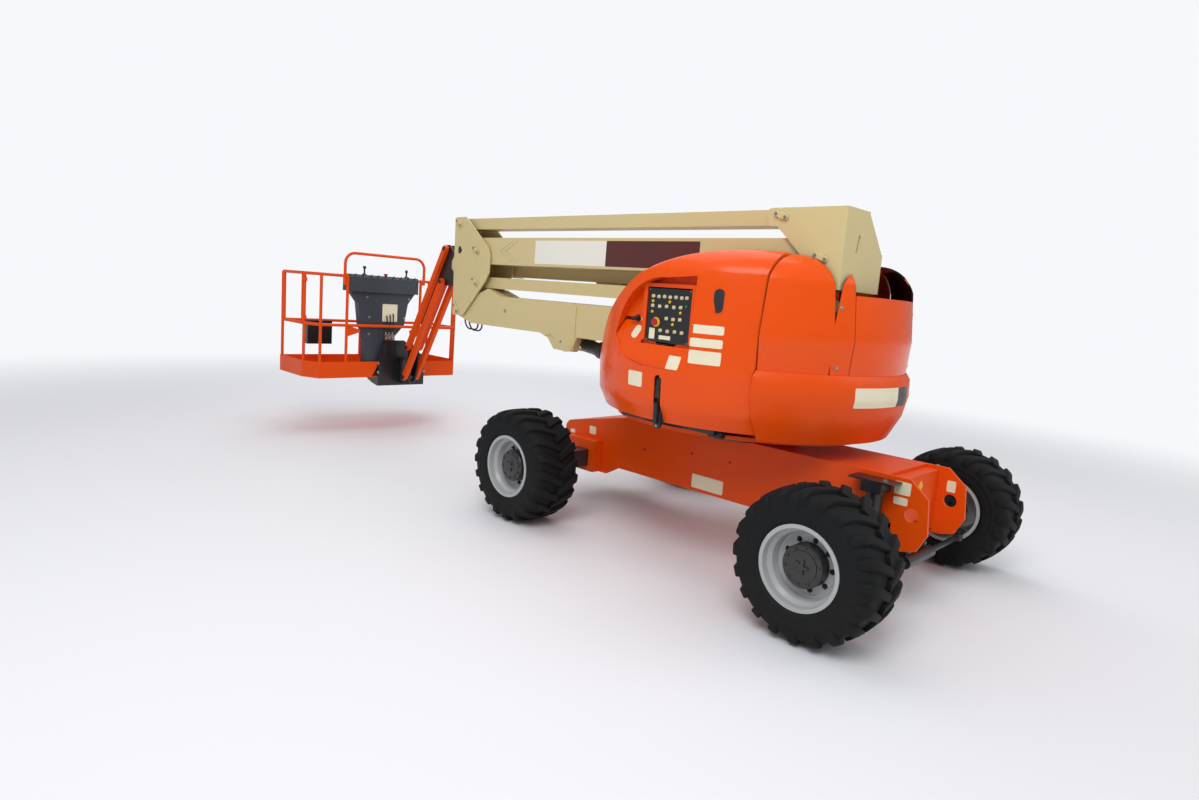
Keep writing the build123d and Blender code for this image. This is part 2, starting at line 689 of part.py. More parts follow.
with BuildPart() as fly_boom:
    block((fly_nose, 100), (boom_y - fly_half_width, boom_y + fly_half_width), (fly_low, fly_high))
    block((fly_nose - 1, 101), (boom_y - fly_half_width + 6, boom_y + fly_half_width - 6), (fly_low + 6, fly_high - 6),
          Mode.SUBTRACT)
    for end, half in ((fly_nose + 115, 50), (-2900, 34)):
        block((fly_nose - 1, end), (boom_y - half, boom_y + half), (fly_low - 1, fly_low + 7), Mode.SUBTRACT)
    for y in (boom_y - 62, boom_y + 62):
        plate(((fly_nose, fly_low), (fly_nose, fly_high), (fly_nose - 60, fly_high), (fly_nose - 150, 1890),
               (fly_nose - 150, 1820), (fly_nose - 120, fly_low)), y, 12)
    cross_pin(level_pivot, boom_y, 2 * 62 + 30, pin_radius)
    for y in (boom_y - 46, boom_y + 46):
        plate(((-2960, fly_low), (-2890, 1660), (-2830, 1660), (-2760, fly_low)), y, 12)
    cross_pin(level_cylinder_foot, boom_y, 130, 18)
finish(fly_boom, "fly_boom")

# ---------------------------------------------------------------- jib
jib_lower_pin = shifted(jib_upper_pin, jib_lower_step)
reach = (-jib_length * cos(radians(jib_angle)), -jib_length * sin(radians(jib_angle)))
support_upper_pin = shifted(jib_upper_pin, reach)
support_lower_pin = shifted(jib_lower_pin, reach)
jib_plate = 36
with BuildPart() as jib_base:
    for hand in (1, -1):
        plate(((-3370, 1900), (-3370, 1650), (-3430, 1640), (-3640, 1650), (-3662, 1700), (-3672, 1900), (-3652, 1945),
               (-3600, 2050), (-3530, 2050)), boom_y + hand * jib_plate, 14)
    cross_pin(level_pivot, boom_y, 2 * jib_plate + 14, 38)
    cross_pin(level_pivot, boom_y, 200, pin_radius + running_gap, Mode.SUBTRACT)
    cross_pin(jib_upper_pin, boom_y, 2 * jib_pin_half, 20)
    cross_pin(jib_lower_pin, boom_y, 2 * jib_pin_half, 20)
    cross_pin(jib_cylinder_foot, boom_y, 2 * jib_plate + 14, 20)
finish(jib_base, "jib_base")


def arm_pair(start, end, inner, thickness, half_height):
    """Two flat bars side by side between two pins, tied by a cross tube."""
    run = Vector(end[0] - start[0], end[1] - start[1], 0)
    unit = run.normalized()
    normal = Vector(-unit.Y, unit.X, 0)
    corners_ = []
    for along, across_ in ((-28, -0.6), (0, -1), (run.length, -1), (run.length + 28, -0.6), (run.length + 28, 0.6),
                           (run.length, 1), (0, 1), (-28, 0.6)):
        p = Vector(start[0], start[1], 0) + unit * along + normal * (across_ * half_height)
        corners_.append((p.X, p.Y))
    for hand in (1, -1):
        plate(corners_, boom_y + hand * (inner + thickness / 2), thickness)
    for pin in (start, end):
        cross_pin(pin, boom_y, 400, 20 + running_gap, Mode.SUBTRACT)


with BuildPart() as jib_upper_arms:
    arm_pair(jib_upper_pin, support_upper_pin, jib_arm_inner, jib_arm_width, jib_arm_half)
finish(jib_upper_arms, "jib_upper_arms")
with BuildPart() as jib_lower_arms:
    arm_pair(jib_lower_pin, support_lower_pin, jib_arm_inner, jib_arm_width, jib_arm_half)
finish(jib_lower_arms, "jib_lower_arms")

# ---------------------------------------------------------------- platform
rotator_y = boom_y
with BuildPart() as platform_support:
    for hand in (1, -1):
        plate(((rotator_x + 20, 560), (rotator_x + 20, 792), (rotator_x + 88, 792), (-4240, 1000), (-4170, 1000),
               (-4160, 940), (-4200, 600), (-4230, 570)), boom_y + hand * jib_plate, 14)
    with BuildSketch(level(560)):
        with Locations((rotator_x, rotator_y)):
            Circle(72)
    extrude(amount=240)
    with BuildSketch(level(560)):
        with Locations((rotator_x, rotator_y)):
            Circle(30 + running_gap)
    extrude(amount=240, mode=Mode.SUBTRACT)
    cross_pin(support_upper_pin, boom_y, 2 * jib_pin_half, 20)
    cross_pin(support_upper_pin, boom_y, 2 * jib_plate - 14, 21, Mode.SUBTRACT)
    cross_pin(support_lower_pin, boom_y, 2 * jib_pin_half, 20)
finish(platform_support, "platform_support")

column_y = (rotator_y - 285, rotator_y + 285)
column_x = (inner_x + 1, inner_x + 17)
mount_arms = ((535, 550), (800, 815))
with BuildPart() as platform_mount:
    with BuildSketch(level(mount_arms[0][1])):
        with Locations((rotator_x, rotator_y)):
            Circle(30)
    extrude(amount=mount_arms[1][0] - mount_arms[0][1])
    for z in mount_arms:
        block((column_x[0], rotator_x), (rotator_y - 50, rotator_y + 50), z)
        with BuildSketch(level(z[0])):
            with Locations((rotator_x, rotator_y)):
                Circle(50)
        extrude(amount=z[1] - z[0])
    with BuildSketch(across(column_x[0])):
        with BuildLine():
            Polyline((column_y[0], 500), (column_y[0], 820), (column_y[0] + 60, 1000), (rotator_y + 20, 1000),
                     (column_y[1], 820), (column_y[1], 500), close=True)
        make_face()
    extrude(amount=column_x[1] - column_x[0])
    for y in (column_y[0] + 8, column_y[1] - 8):
        plate(((inner_x - 340, floor_height - 6), (column_x[0], floor_height - 6), (column_x[0], 500),
               (inner_x - 120, 520)), y, 16)
finish(platform_mount, "platform_mount")

near_y, far_y = platform_y - platform_width / 2, platform_y + platform_width / 2
platform_plan = ((outer_x, near_y), (inner_x - 200, near_y), (inner_x, near_y + 100), (inner_x, far_y - 100),
                 (inner_x - 200, far_y), (outer_x, far_y))
column_face = inner_x - 2 * rail_radius - 4
console_post = (column_face - 90, column_face)
console_post_y = (-539, -200)
console_pad = 6
with BuildPart() as platform_floor:
    with BuildSketch(level(floor_height - 6)):
        with BuildLine():
            Polyline(*platform_plan, close=True)
        make_face()
    extrude(amount=toe_board)
    with BuildSketch(level(floor_height)):
        with BuildLine():
            Polyline(*platform_plan, close=True)
        make_face()
        offset(amount=-5)
    extrude(amount=toe_board, mode=Mode.SUBTRACT)
    with BuildSketch(across(inner_x - 20)):
        with BuildLine():
            Polyline((column_y[0] - 60, floor_height), (column_y[0] - 60, floor_height + 6),
                     (column_y[0] + 30, floor_height + toe_board), (column_y[1] - 30, floor_height + toe_board),
                     (column_y[1] + 20, floor_height + 6), (column_y[1] + 20, floor_height), close=True)
        make_face()
    extrude(amount=30, mode=Mode.SUBTRACT)
    block((console_post[0] - 10, console_post[1] + 10), (console_post_y[0] - 10, console_post_y[1] + 10),
          (floor_height - 1, floor_height + console_pad))
finish(platform_floor, "platform_floor")

rail_x = inner_x - rail_radius
arch_y = (-765, 100)
arch_height = 1905
rail_plan = ((outer_x + rail_radius, near_y + rail_radius), (inner_x - 200, near_y + rail_radius),
             (rail_x, near_y + 108), (rail_x, far_y - 108),
             (inner_x - 200, far_y - rail_radius), (outer_x + rail_radius, far_y - rail_radius))
toe_top = floor_height - 6 + toe_board
gate_posts = (rail_plan[0], rail_plan[1])
rail_runs = (
    # height, points of the run
    (mid_rail_height, rail_plan[1:] + rail_plan[:1]),
    (rail_height - rail_radius, ((rail_x, arch_y[0]), *rail_plan[2:0:-1])),
    (rail_height - rail_radius, ((rail_x, arch_y[1]), *rail_plan[3:], rail_plan[0])),
)
with BuildPart() as platform_rails:
    for z, run in rail_runs:
        with BuildLine() as rail_line:
            Polyline(*[(swing_x + x, y, z) for x, y in run])
        with BuildSketch(Plane(origin=rail_line.line @ 0, z_dir=rail_line.line % 0)):
            Circle(rail_radius)
        sweep(path=rail_line.line, transition=Transition.RIGHT)
    posts = (*rail_plan, (rail_x, arch_y[0]), (rail_x, arch_y[1]), (outer_x + rail_radius, platform_y))
    for x, y in posts:
        bar((x, y, toe_top), (x, y, rail_height - rail_radius), post_radius)
    arch_x = rail_x + 4
    legs = ((arch_y[0] - 34, 1, mid_rail_height + 420), (arch_y[1] + 34, -1, rail_height - 60))
    for leg_y, inward, foot_z in legs:
        bend_y, bend_z = leg_y + inward * arch_bend, arch_height - arch_bend
        bar((arch_x, leg_y, foot_z), (arch_x, leg_y, bend_z), post_radius)
        with BuildSketch(level(bend_z)):
            with Locations((arch_x, leg_y)):
                Circle(post_radius)
        revolve(axis=Axis((swing_x + arch_x, bend_y, bend_z), (-inward, 0, 0)), revolution_arc=90)
    bar((arch_x, legs[0][0] + arch_bend, arch_height), (arch_x, legs[1][0] - arch_bend, arch_height), post_radius)
    for y, z in ((arch_y[0], mid_rail_height + 440), (arch_y[0], rail_height - 60), (arch_y[1], rail_height - 40)):
        step = 34 if y > 0 else -34
        bar((rail_x + 2, y, z), (rail_x + 2, y + step, z), 10)
    for edge, tip in ((arch_y[0], arch_y[0] + 150), (arch_y[1], arch_y[1] - 120)):
        with BuildSketch(across(rail_x - 4)):
            with BuildLine():
                Polyline((edge, mid_rail_height), (edge, mid_rail_height - 120), (tip, mid_rail_height - 70),
                         (tip, mid_rail_height - 40), close=True)
            make_face()
        extrude(amount=8)
finish(platform_rails, "platform_rails")

gate_x = (gate_posts[0][0] + 40, gate_posts[1][0] - 40)
gate_y = near_y + rail_radius
with BuildPart() as gate:
    for z in (mid_rail_height, rail_height - rail_radius):
        bar((gate_x[0], gate_y, z), (gate_x[1], gate_y, z), rail_radius)
    for x in gate_x:
        bar((x, gate_y, mid_rail_height), (x, gate_y, rail_height - rail_radius), post_radius)
    hinge_x = gate_posts[1][0]
    for z in (mid_rail_height + 40, rail_height - 100):
        bar((hinge_x, gate_y, z), (hinge_x, gate_y, z + 40), 24)
        bar((hinge_x, gate_y, z + 20), (gate_x[1], gate_y, z + 20), 10)
        with BuildSketch(level(z)):
            with Locations((hinge_x, gate_y)):
                Circle(post_radius + running_gap)
        extrude(amount=40, mode=Mode.SUBTRACT)
finish(gate, "platform_gate")

console_x = (inner_x - 180, inner_x + 4)
console_y = (arch_y[0] + 26, arch_y[1] - 40)
console_z = (1512, 1690)
with BuildPart() as console:
    plate(((console_x[0], console_z[0]), (console_x[0], console_z[1] - 50), (console_x[0] + 60, console_z[1]),
           (console_x[1] - 20, console_z[1]), (console_x[1], console_z[1] - 25), (console_x[1], console_z[0])),
          (console_y[0] + console_y[1]) / 2, console_y[1] - console_y[0])
    with BuildSketch(across(console_post[0])):
        with BuildLine():
            Polyline((console_y[0] + 20, console_z[0]), (console_y[0] + 110, 1400), (console_y[0] + 140, 1165),
                     (console_post_y[0] - 10, 1040), (console_post_y[0], floor_height + console_pad),
                     (console_post_y[1], floor_height + console_pad), (console_post_y[1] + 10, 1040),
                     (console_y[1] - 140, 1165), (console_y[1] - 100, 1400), (console_y[1] - 20, console_z[0]),
                     close=True)
        make_face()
    extrude(amount=console_post[1] - console_post[0])
finish(console, "platform_console")

with BuildPart() as manual_box:
    block((outer_x + 2 * rail_radius, outer_x + 100), (-900, -620), (mid_rail_height - 260, mid_rail_height))
finish(manual_box, "manual_box")

# ---------------------------------------------------------------- lift cylinders
cylinders = (
    # name, foot, eye, y, barrel radius, rod radius, barrel length, eye radius, foot radius, pin radius, spare bore
    ("tower_cylinder", tower_cylinder_foot, tower_clevis, tower_y, 62, 36, 860, 34, 60, pin_radius, 10),
    ("boom_cylinder", boom_cylinder_foot, boom_lug, boom_y, 55, 32, 1250, 34, 50, pin_radius, 10),
    ("jib_cylinder", jib_cylinder_foot, support_upper_pin, boom_y, 24, 14, 800, 20, 34, 20, 10),
    ("level_cylinder", level_cylinder_foot, level_pin, boom_y, 24, 14, 330, 20, 30, 18, 150),
)
eye_half = 22
for name, foot, eye, y, barrel_r, rod_r, barrel_length, eye_r, foot_r, foot_pin, spare in cylinders:
    run = Vector(eye[0] - foot[0], 0, eye[1] - foot[1])
    unit = run.normalized()
    foot_place = Vector(swing_x + foot[0], y, foot[1])
    bore = Plane(origin=foot_place + unit * (foot_r + 2), z_dir=unit)
    with BuildPart() as barrel:
        cross_pin(foot, y, 2 * eye_half, foot_r)
        with BuildSketch(Plane(origin=foot_place + unit * (foot_r * 0.5), z_dir=unit)):
            Circle(barrel_r)
        extrude(amount=barrel_length - foot_r * 0.5)
        if barrel_r > eye_half:
            cross_pin(foot, y, 4 * barrel_r, foot_r + 1, Mode.SUBTRACT)
            cross_pin(foot, y, 2 * eye_half, foot_r + 2)
        cross_pin(foot, y, 4 * barrel_r, foot_pin + running_gap, Mode.SUBTRACT)
        with BuildSketch(Plane(origin=foot_place + unit * (foot_r + 30), z_dir=unit)):
            Circle(rod_r + running_gap)
        extrude(amount=barrel_length, mode=Mode.SUBTRACT)
    finish(barrel, name + "_barrel")
    with BuildPart() as rod:
        cross_pin(eye, y, 2 * eye_half, eye_r)
        with BuildSketch(Plane(origin=foot_place + unit * (foot_r + 30 + spare), z_dir=unit)):
            Circle(rod_r)
        extrude(amount=run.length - foot_r - 30 - spare)
        cross_pin(eye, y, 200, eye_r - 2, Mode.SUBTRACT)
        cross_pin(eye, y, 2 * eye_half, eye_r - 2)
    finish(rod, name + "_rod")
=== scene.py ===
import bpy
import bmesh
import json
from math import atan2, cos, pi, radians, sin, tau
from mathutils import Matrix, Vector
from mathutils.bvhtree import BVHTree


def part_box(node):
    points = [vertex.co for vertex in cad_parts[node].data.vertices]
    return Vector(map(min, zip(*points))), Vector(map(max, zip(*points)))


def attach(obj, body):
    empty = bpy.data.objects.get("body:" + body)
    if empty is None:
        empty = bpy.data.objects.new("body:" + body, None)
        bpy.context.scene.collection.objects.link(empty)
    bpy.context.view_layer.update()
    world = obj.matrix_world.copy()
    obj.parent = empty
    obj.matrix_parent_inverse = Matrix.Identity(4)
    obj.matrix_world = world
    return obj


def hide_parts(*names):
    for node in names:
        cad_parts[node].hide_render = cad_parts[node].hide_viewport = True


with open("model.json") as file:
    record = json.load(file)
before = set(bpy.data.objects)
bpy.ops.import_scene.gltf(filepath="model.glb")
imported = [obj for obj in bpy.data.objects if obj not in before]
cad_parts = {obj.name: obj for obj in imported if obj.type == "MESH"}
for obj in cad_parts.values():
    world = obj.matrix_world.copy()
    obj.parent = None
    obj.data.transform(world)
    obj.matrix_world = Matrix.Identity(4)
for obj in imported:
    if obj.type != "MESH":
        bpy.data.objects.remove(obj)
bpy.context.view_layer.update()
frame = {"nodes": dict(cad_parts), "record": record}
nodes = frame["nodes"]
mm = 0.001
joints = {joint["name"]: joint for joint in frame["record"]["behaviour"]["joints"]}
swingX = joints["swing"]["pos_m"][0]  # the turntable's axis
print("frame loaded:", len(nodes), "nodes")


def at(x, y, z):
    # a place given in mm: x from the swing axis, y to the machine's left, z from the ground
    return Vector((swingX + x * mm, y * mm, z * mm))


studio = {
    "backdrop": "F7F8FB",       # what the camera sees behind the machine
    "floor": "E2E3E8",
    "floorPatch": "E6E7EB",     # second tone, in soft patches
    "floorSize": 60,            # metres from the middle to each edge
    "floorFade": (5.0, 11.0),   # metres from the middle over which the floor turns into backdrop
    "skyStrength": 0.62,
    "skyLow": (0.50, 0.51, 0.53, 1),
    "skyHigh": (1, 1, 1, 1),
    "skyHighFrom": 0.75,        # share of the way up at which the sky is at its lightest
    "lampAim": (-1.5, 0, 1.0),  # metres from the swing axis, like the places below
    "lamps": (
        # name, place, width in metres, watts
        ("keyLamp", (2.5, -5.5, 6.5), 4.0, 300),
        ("topLamp", (-2.5, 0.5, 7.5), 6.0, 165),
        ("fillLamp", (6.0, 4.0, 5.0), 4.0, 95),
        ("backLamp", (-8.0, 3.0, 5.0), 4.0, 95),
    ),
}


def linear(hexColour, alpha=1.0):
    def channel(text):
        value = int(text, 16) / 255
        return value / 12.92 if value <= 0.04045 else ((value + 0.055) / 1.055) ** 2.4
    return (channel(hexColour[0:2]), channel(hexColour[2:4]), channel(hexColour[4:6]), alpha)


def addNode(tree, kind, settings=None, links=None):
    # settings: property or input name -> value; links: input name -> output socket
    node = tree.nodes.new(kind)
    for key, value in (settings or {}).items():
        if isinstance(key, str) and hasattr(node, key):
            setattr(node, key, value)
        else:
            node.inputs[key].default_value = value
    for key, socket in (links or {}).items():
        tree.links.new(socket, node.inputs[key])
    return node


def newMaterial(name):
    material = bpy.data.materials.new(name)
    material.use_nodes = True
    material.node_tree.nodes.clear()
    return material, material.node_tree


def makeSky():
    world = bpy.data.worlds.new("studioSky")
    world.use_nodes = True
    bpy.context.scene.world = world
    tree = world.node_tree
    tree.nodes.clear()
    rays = addNode(tree, "ShaderNodeLightPath")
    seen = addNode(tree, "ShaderNodeBackground", {"Color": linear(studio["backdrop"]), "Strength": 1.0})
    direction = addNode(tree, "ShaderNodeTexCoord")
    height = addNode(tree, "ShaderNodeSeparateXYZ", links={0: direction.outputs["Generated"]})
    ramp = addNode(tree, "ShaderNodeValToRGB", links={0: height.outputs["Z"]})
    low, high = ramp.color_ramp.elements
    low.position = 0.0
    low.color = studio["skyLow"]
    high.position = studio["skyHighFrom"]
    high.color = studio["skyHigh"]
    sky = addNode(tree, "ShaderNodeBackground", {"Strength": studio["skyStrength"]},
                  {"Color": ramp.outputs[0]})
    mix = addNode(tree, "ShaderNodeMixShader",
                  links={0: rays.outputs["Is Camera Ray"], 1: sky.outputs[0], 2: seen.outputs[0]})
    addNode(tree, "ShaderNodeOutputWorld", links={"Surface": mix.outputs[0]})


def makeFloor():
    size = studio["floorSize"]
    mesh = bpy.data.meshes.new("studioFloor")
    mesh.from_pydata([(-size, -size, 0), (size, -size, 0), (size, size, 0), (-size, size, 0)],
                     [], [(0, 1, 2, 3)])
    floor = bpy.data.objects.new("studioFloor", mesh)
    bpy.context.scene.collection.objects.link(floor)
    material, tree = newMaterial("paintedStudioFloor")
    place = addNode(tree, "ShaderNodeNewGeometry")
    away = addNode(tree, "ShaderNodeVectorMath", {"operation": "LENGTH"}, {0: place.outputs["Position"]})
    start, end = studio["floorFade"]
    fade = addNode(tree, "ShaderNodeMapRange",
                   {"From Min": start, "From Max": end, "interpolation_type": "SMOOTHSTEP"},
                   {"Value": away.outputs["Value"]})
    noise = addNode(tree, "ShaderNodeTexNoise", {"Scale": 0.6, "Detail": 2.0})
    tone = addNode(tree, "ShaderNodeMixRGB", {1: linear(studio["floor"]), 2: linear(studio["floorPatch"])},
                   {0: noise.outputs["Fac"]})
    matte = addNode(tree, "ShaderNodeBsdfDiffuse", links={"Color": tone.outputs[0]})
    glow = addNode(tree, "ShaderNodeEmission", {"Color": linear(studio["backdrop"]), "Strength": 1.0})
    mix = addNode(tree, "ShaderNodeMixShader",
                  links={0: fade.outputs[0], 1: matte.outputs[0], 2: glow.outputs[0]})
    addNode(tree, "ShaderNodeOutputMaterial", links={"Surface": mix.outputs[0]})
    mesh.materials.append(material)


def makeLamps():
    fromAxis = Vector((swingX, 0, 0))
    for name, place, size, power in studio["lamps"]:
        light = bpy.data.lights.new(name, "AREA")
        light.energy = power
        light.size = size
        lamp = bpy.data.objects.new(name, light)
        lamp.location = fromAxis + Vector(place)
        aim = Vector(studio["lampAim"]) - Vector(place)
        lamp.rotation_euler = aim.to_track_quat("-Z", "Y").to_euler()
        bpy.context.scene.collection.objects.link(lamp)


cameraView = {
    "place": (2.868, -4.370, 1.669),  # metres from the swing axis
    "yaw": 44.471,                    # degrees, as are the next two
    "pitch": 8.129,
    "roll": 4.453,
    "lens": 22.0,                     # mm, on a sensor 36 mm wide
}


def makeCamera():
    yaw, pitch, roll = (radians(cameraView[key]) for key in ("yaw", "pitch", "roll"))
    forward = Vector((-sin(yaw) * cos(pitch), cos(yaw) * cos(pitch), -sin(pitch)))
    level = Vector((cos(yaw), sin(yaw), 0))
    upright = level.cross(forward)
    rightward = level * cos(roll) + upright * sin(roll)
    upward = upright * cos(roll) - level * sin(roll)
    data = bpy.data.cameras.new("camera")
    data.lens = cameraView["lens"]
    data.sensor_width = 36
    data.clip_end = 200
    camera = bpy.data.objects.new("camera", data)
    x, y, z = cameraView["place"]
    turn = Matrix((rightward, upward, -forward)).transposed().to_4x4()
    camera.matrix_world = Matrix.Translation((swingX + x, y, z)) @ turn
    bpy.context.scene.collection.objects.link(camera)
    bpy.context.scene.camera = camera


makeSky()
makeFloor()
makeLamps()
makeCamera()
print("studio and camera ready")


def makeFinish(name, colour, shade, roughness, spreadMm=700, metallic=0.0, ior=1.5, coat=0.0,
               coatRoughness=0.08, bumpMm=4.0, bumpDepth=0.05, dust=None, dustTop=0.9, specular=0.5):
    # one build-up for all: two tones in soft patches, roughness that follows them, a fine surface bump,
    # and where wanted dust that thins out upwards from the ground
    material, tree = newMaterial(name)
    place = addNode(tree, "ShaderNodeTexCoord").outputs["Object"]
    patches = addNode(tree, "ShaderNodeTexNoise",
                      {"Scale": 1000 / spreadMm, "Detail": 5.0, "Roughness": 0.62}, {"Vector": place})
    patch = patches.outputs["Fac"]
    tone = addNode(tree, "ShaderNodeMixRGB", {1: linear(colour), 2: linear(shade)}, {0: patch})
    rough = addNode(tree, "ShaderNodeMapRange",
                    {"From Min": 0.3, "From Max": 0.7, "To Min": max(0.02, roughness - 0.06),
                     "To Max": min(1.0, roughness + 0.08)}, {"Value": patch})
    if dust:
        dustColour, amount = dust
        parts = addNode(tree, "ShaderNodeSeparateXYZ", links={0: place})
        low = addNode(tree, "ShaderNodeMapRange",
                      {"From Min": 0.0, "From Max": dustTop, "To Min": amount, "To Max": 0.0},
                      {"Value": parts.outputs["Z"]})
        specks = addNode(tree, "ShaderNodeTexNoise", {"Scale": 1000 / 60, "Detail": 6.0, "Roughness": 0.7},
                         {"Vector": place})
        cover = addNode(tree, "ShaderNodeMath", {"operation": "MULTIPLY"},
                        {0: low.outputs[0], 1: specks.outputs["Fac"]})
        tone = addNode(tree, "ShaderNodeMixRGB", {2: linear(dustColour)},
                       {0: cover.outputs[0], 1: tone.outputs[0]})
    grain = addNode(tree, "ShaderNodeTexNoise", {"Scale": 1000 / bumpMm, "Detail": 2.0}, {"Vector": place})
    bump = addNode(tree, "ShaderNodeBump", {"Strength": 0.35, "Distance": bumpDepth * mm},
                   {"Height": grain.outputs["Fac"]})
    shader = addNode(tree, "ShaderNodeBsdfPrincipled",
                     {"IOR": ior, "Metallic": metallic, "Coat Weight": coat,
                      "Coat Roughness": coatRoughness, "Specular IOR Level": specular},
                     {"Base Color": tone.outputs[0], "Roughness": rough.outputs[0],
                      "Normal": bump.outputs[0]})
    addNode(tree, "ShaderNodeOutputMaterial", links={"Surface": shader.outputs[0]})
    return material


# sprayed two-pack enamel on welded steel: even, half glossy, dusty low down;
# its orange peel is drawn 6 mm wide, coarser than the real one, so that it shows
orangeEnamel = makeFinish("orangeEnamel", "EA5002", "DE4901", 0.42, coat=0.05, dust=("A8653A", 0.12),
                          bumpMm=6, specular=0.2)
# the same enamel on the tower and booms, clear of the ground's dust
creamEnamel = makeFinish("creamEnamel", "D3C28F", "CAB884", 0.45, coat=0.1, bumpMm=6, specular=0.4)
# black enamel on axles, brackets and hubs: a little glossier, with grey dust low down
blackEnamel = makeFinish("blackEnamel", "1B1C1E", "141517", 0.38, coat=0.2, dust=("6B6760", 0.25), bumpMm=6)
# silver wheel enamel, baked on pressed steel: pale grey without sparkle
silverEnamel = makeFinish("silverWheelEnamel", "B3B5B6", "A5A7A9", 0.38, coat=0.1, dust=("8F8A82", 0.2),
                          bumpMm=5)
# moulded glass-fibre with a gelcoat skin: deep even gloss, soft long waves in the reflections
orangeGelcoat = makeFinish("orangeGelcoat", "EA5203", "E34B02", 0.26, spreadMm=1200, coat=0.14,
                           coatRoughness=0.06, bumpMm=160, bumpDepth=2.2, specular=0.22)
# vulcanised tyre rubber: dull black with dust in the grain
tyreRubber = makeFinish("tyreRubber", "0B0D0F", "131517", 0.72, spreadMm=160, bumpMm=3, bumpDepth=0.2,
                        dust=("4A473F", 0.16), dustTop=0.8, specular=0.22)
# hard-chromed, ground piston rod: mirror-like with a very fine grain
chromedSteel = makeFinish("chromedSteel", "C9CBCD", "B9BBBE", 0.12, metallic=1.0, bumpMm=2, bumpDepth=0.01)
# zinc-plated fasteners: pale grey metal, satin
zincSteel = makeFinish("zincSteel", "B5B4AC", "9C9B94", 0.32, spreadMm=40, metallic=1.0, bumpMm=2,
                       bumpDepth=0.04)
# bare steel with an oil film: dark grey metal, satin
darkSteel = makeFinish("oiledDarkSteel", "3A3B3D", "2A2B2D", 0.4, spreadMm=40, metallic=0.8, bumpMm=2,
                       bumpDepth=0.05)
# injection-moulded ABS with a spark-eroded texture: even, low gloss
slatePlastic = makeFinish("slateAbs", "38424A", "323B42", 0.5, spreadMm=300, bumpMm=1.5, bumpDepth=0.08)
# the black ABS also serves as painted shade in the tower upright's hole
blackPlasticAndHoleShade = makeFinish("blackAbsAndHoleShade", "161718", "1D1E20", 0.42, spreadMm=200, bumpMm=1.5, bumpDepth=0.06)
# moulded knobs, smoother than the housings
creamPlastic = makeFinish("creamKnobPlastic", "E3D9B4", "D8CDA4", 0.35, spreadMm=30, bumpMm=1.5,
                          bumpDepth=0.03)
redPlastic = makeFinish("redKnobPlastic", "B8141A", "A01015", 0.28, spreadMm=30, bumpMm=1.5, bumpDepth=0.03)
yellowPlastic = makeFinish("yellowRingPlastic", "E9B91C", "DDAA14", 0.35, spreadMm=30, bumpMm=1.5,
                           bumpDepth=0.03)
# polycarbonate lamp lens: glossy, with a higher IOR than the knobs
greenLens = makeFinish("greenLampLens", "1F7A3A", "176430", 0.15, spreadMm=20, ior=1.58, bumpMm=1.5,
                       bumpDepth=0.02)
# cast polyamide slide pad, oil-stained
nylonPad = makeFinish("castNylon", "A5572A", "8C451F", 0.5, spreadMm=60, bumpMm=3, bumpDepth=0.1)
# hydraulic hose cover: wrapped rubber, dull
hoseRubber = makeFinish("hoseRubber", "1A1B1C", "242526", 0.6, spreadMm=50, bumpMm=2, bumpDepth=0.15)
# engine castings with baked-on grime: dull, nearly black; also used for the painted shade sheet inside the
# rear covers
castIronAndCoverShade = makeFinish("greasyCastIronAndCoverShade", "232323", "191816", 0.6, spreadMm=80, metallic=0.3, bumpMm=4,
                      bumpDepth=0.5)
# adhesive vinyl: even and satin, the cream one slightly yellowed; the black one also serves as painted shade
# in the chassis's holes
creamVinyl = makeFinish("creamVinyl", "EDE6CB", "E2D9B8", 0.4, spreadMm=120, bumpMm=3, bumpDepth=0.02)
whiteVinyl = makeFinish("whiteVinyl", "ECEAE2", "E2DFD3", 0.38, spreadMm=200, bumpMm=3, bumpDepth=0.02)
maroonVinyl = makeFinish("maroonVinyl", "5A2320", "4E1D1B", 0.4, spreadMm=200, bumpMm=3, bumpDepth=0.02)
blackVinylAndHoleShade = makeFinish("blackVinylAndHoleShade", "1C1C1D", "262627", 0.42, spreadMm=100, bumpMm=3, bumpDepth=0.02)
yellowVinyl = makeFinish("yellowVinyl", "E8BE2A", "DDB11F", 0.4, spreadMm=100, bumpMm=3, bumpDepth=0.02)

finishes = {
    # material slot in the frame: finish
    "orange_paint": orangeEnamel, "orange_gelcoat": orangeGelcoat, "cream_paint": creamEnamel,
    "black_paint": blackEnamel, "rim_paint": silverEnamel, "tyre_rubber": tyreRubber,
    "chrome_rod": chromedSteel, "black_plastic": blackPlasticAndHoleShade, "console_plastic": slatePlastic,
    "nylon_pad": nylonPad, "engine_iron": castIronAndCoverShade, "hose_rubber": hoseRubber,
}
shells = {"nodes": ("near_hood", "far_hood", "rear_covers", "counterweight"), "crease": 38}  # degrees


def paintNode(node, material):
    if not nodes[node].material_slots:
        nodes[node].data.materials.append(material)
    for slot in nodes[node].material_slots:
        slot.material = material


def placeKey(vertex):
    # equal for vertices that share a place, also where faces don't share the vertex
    return tuple(round(value, 5) for value in vertex.co)


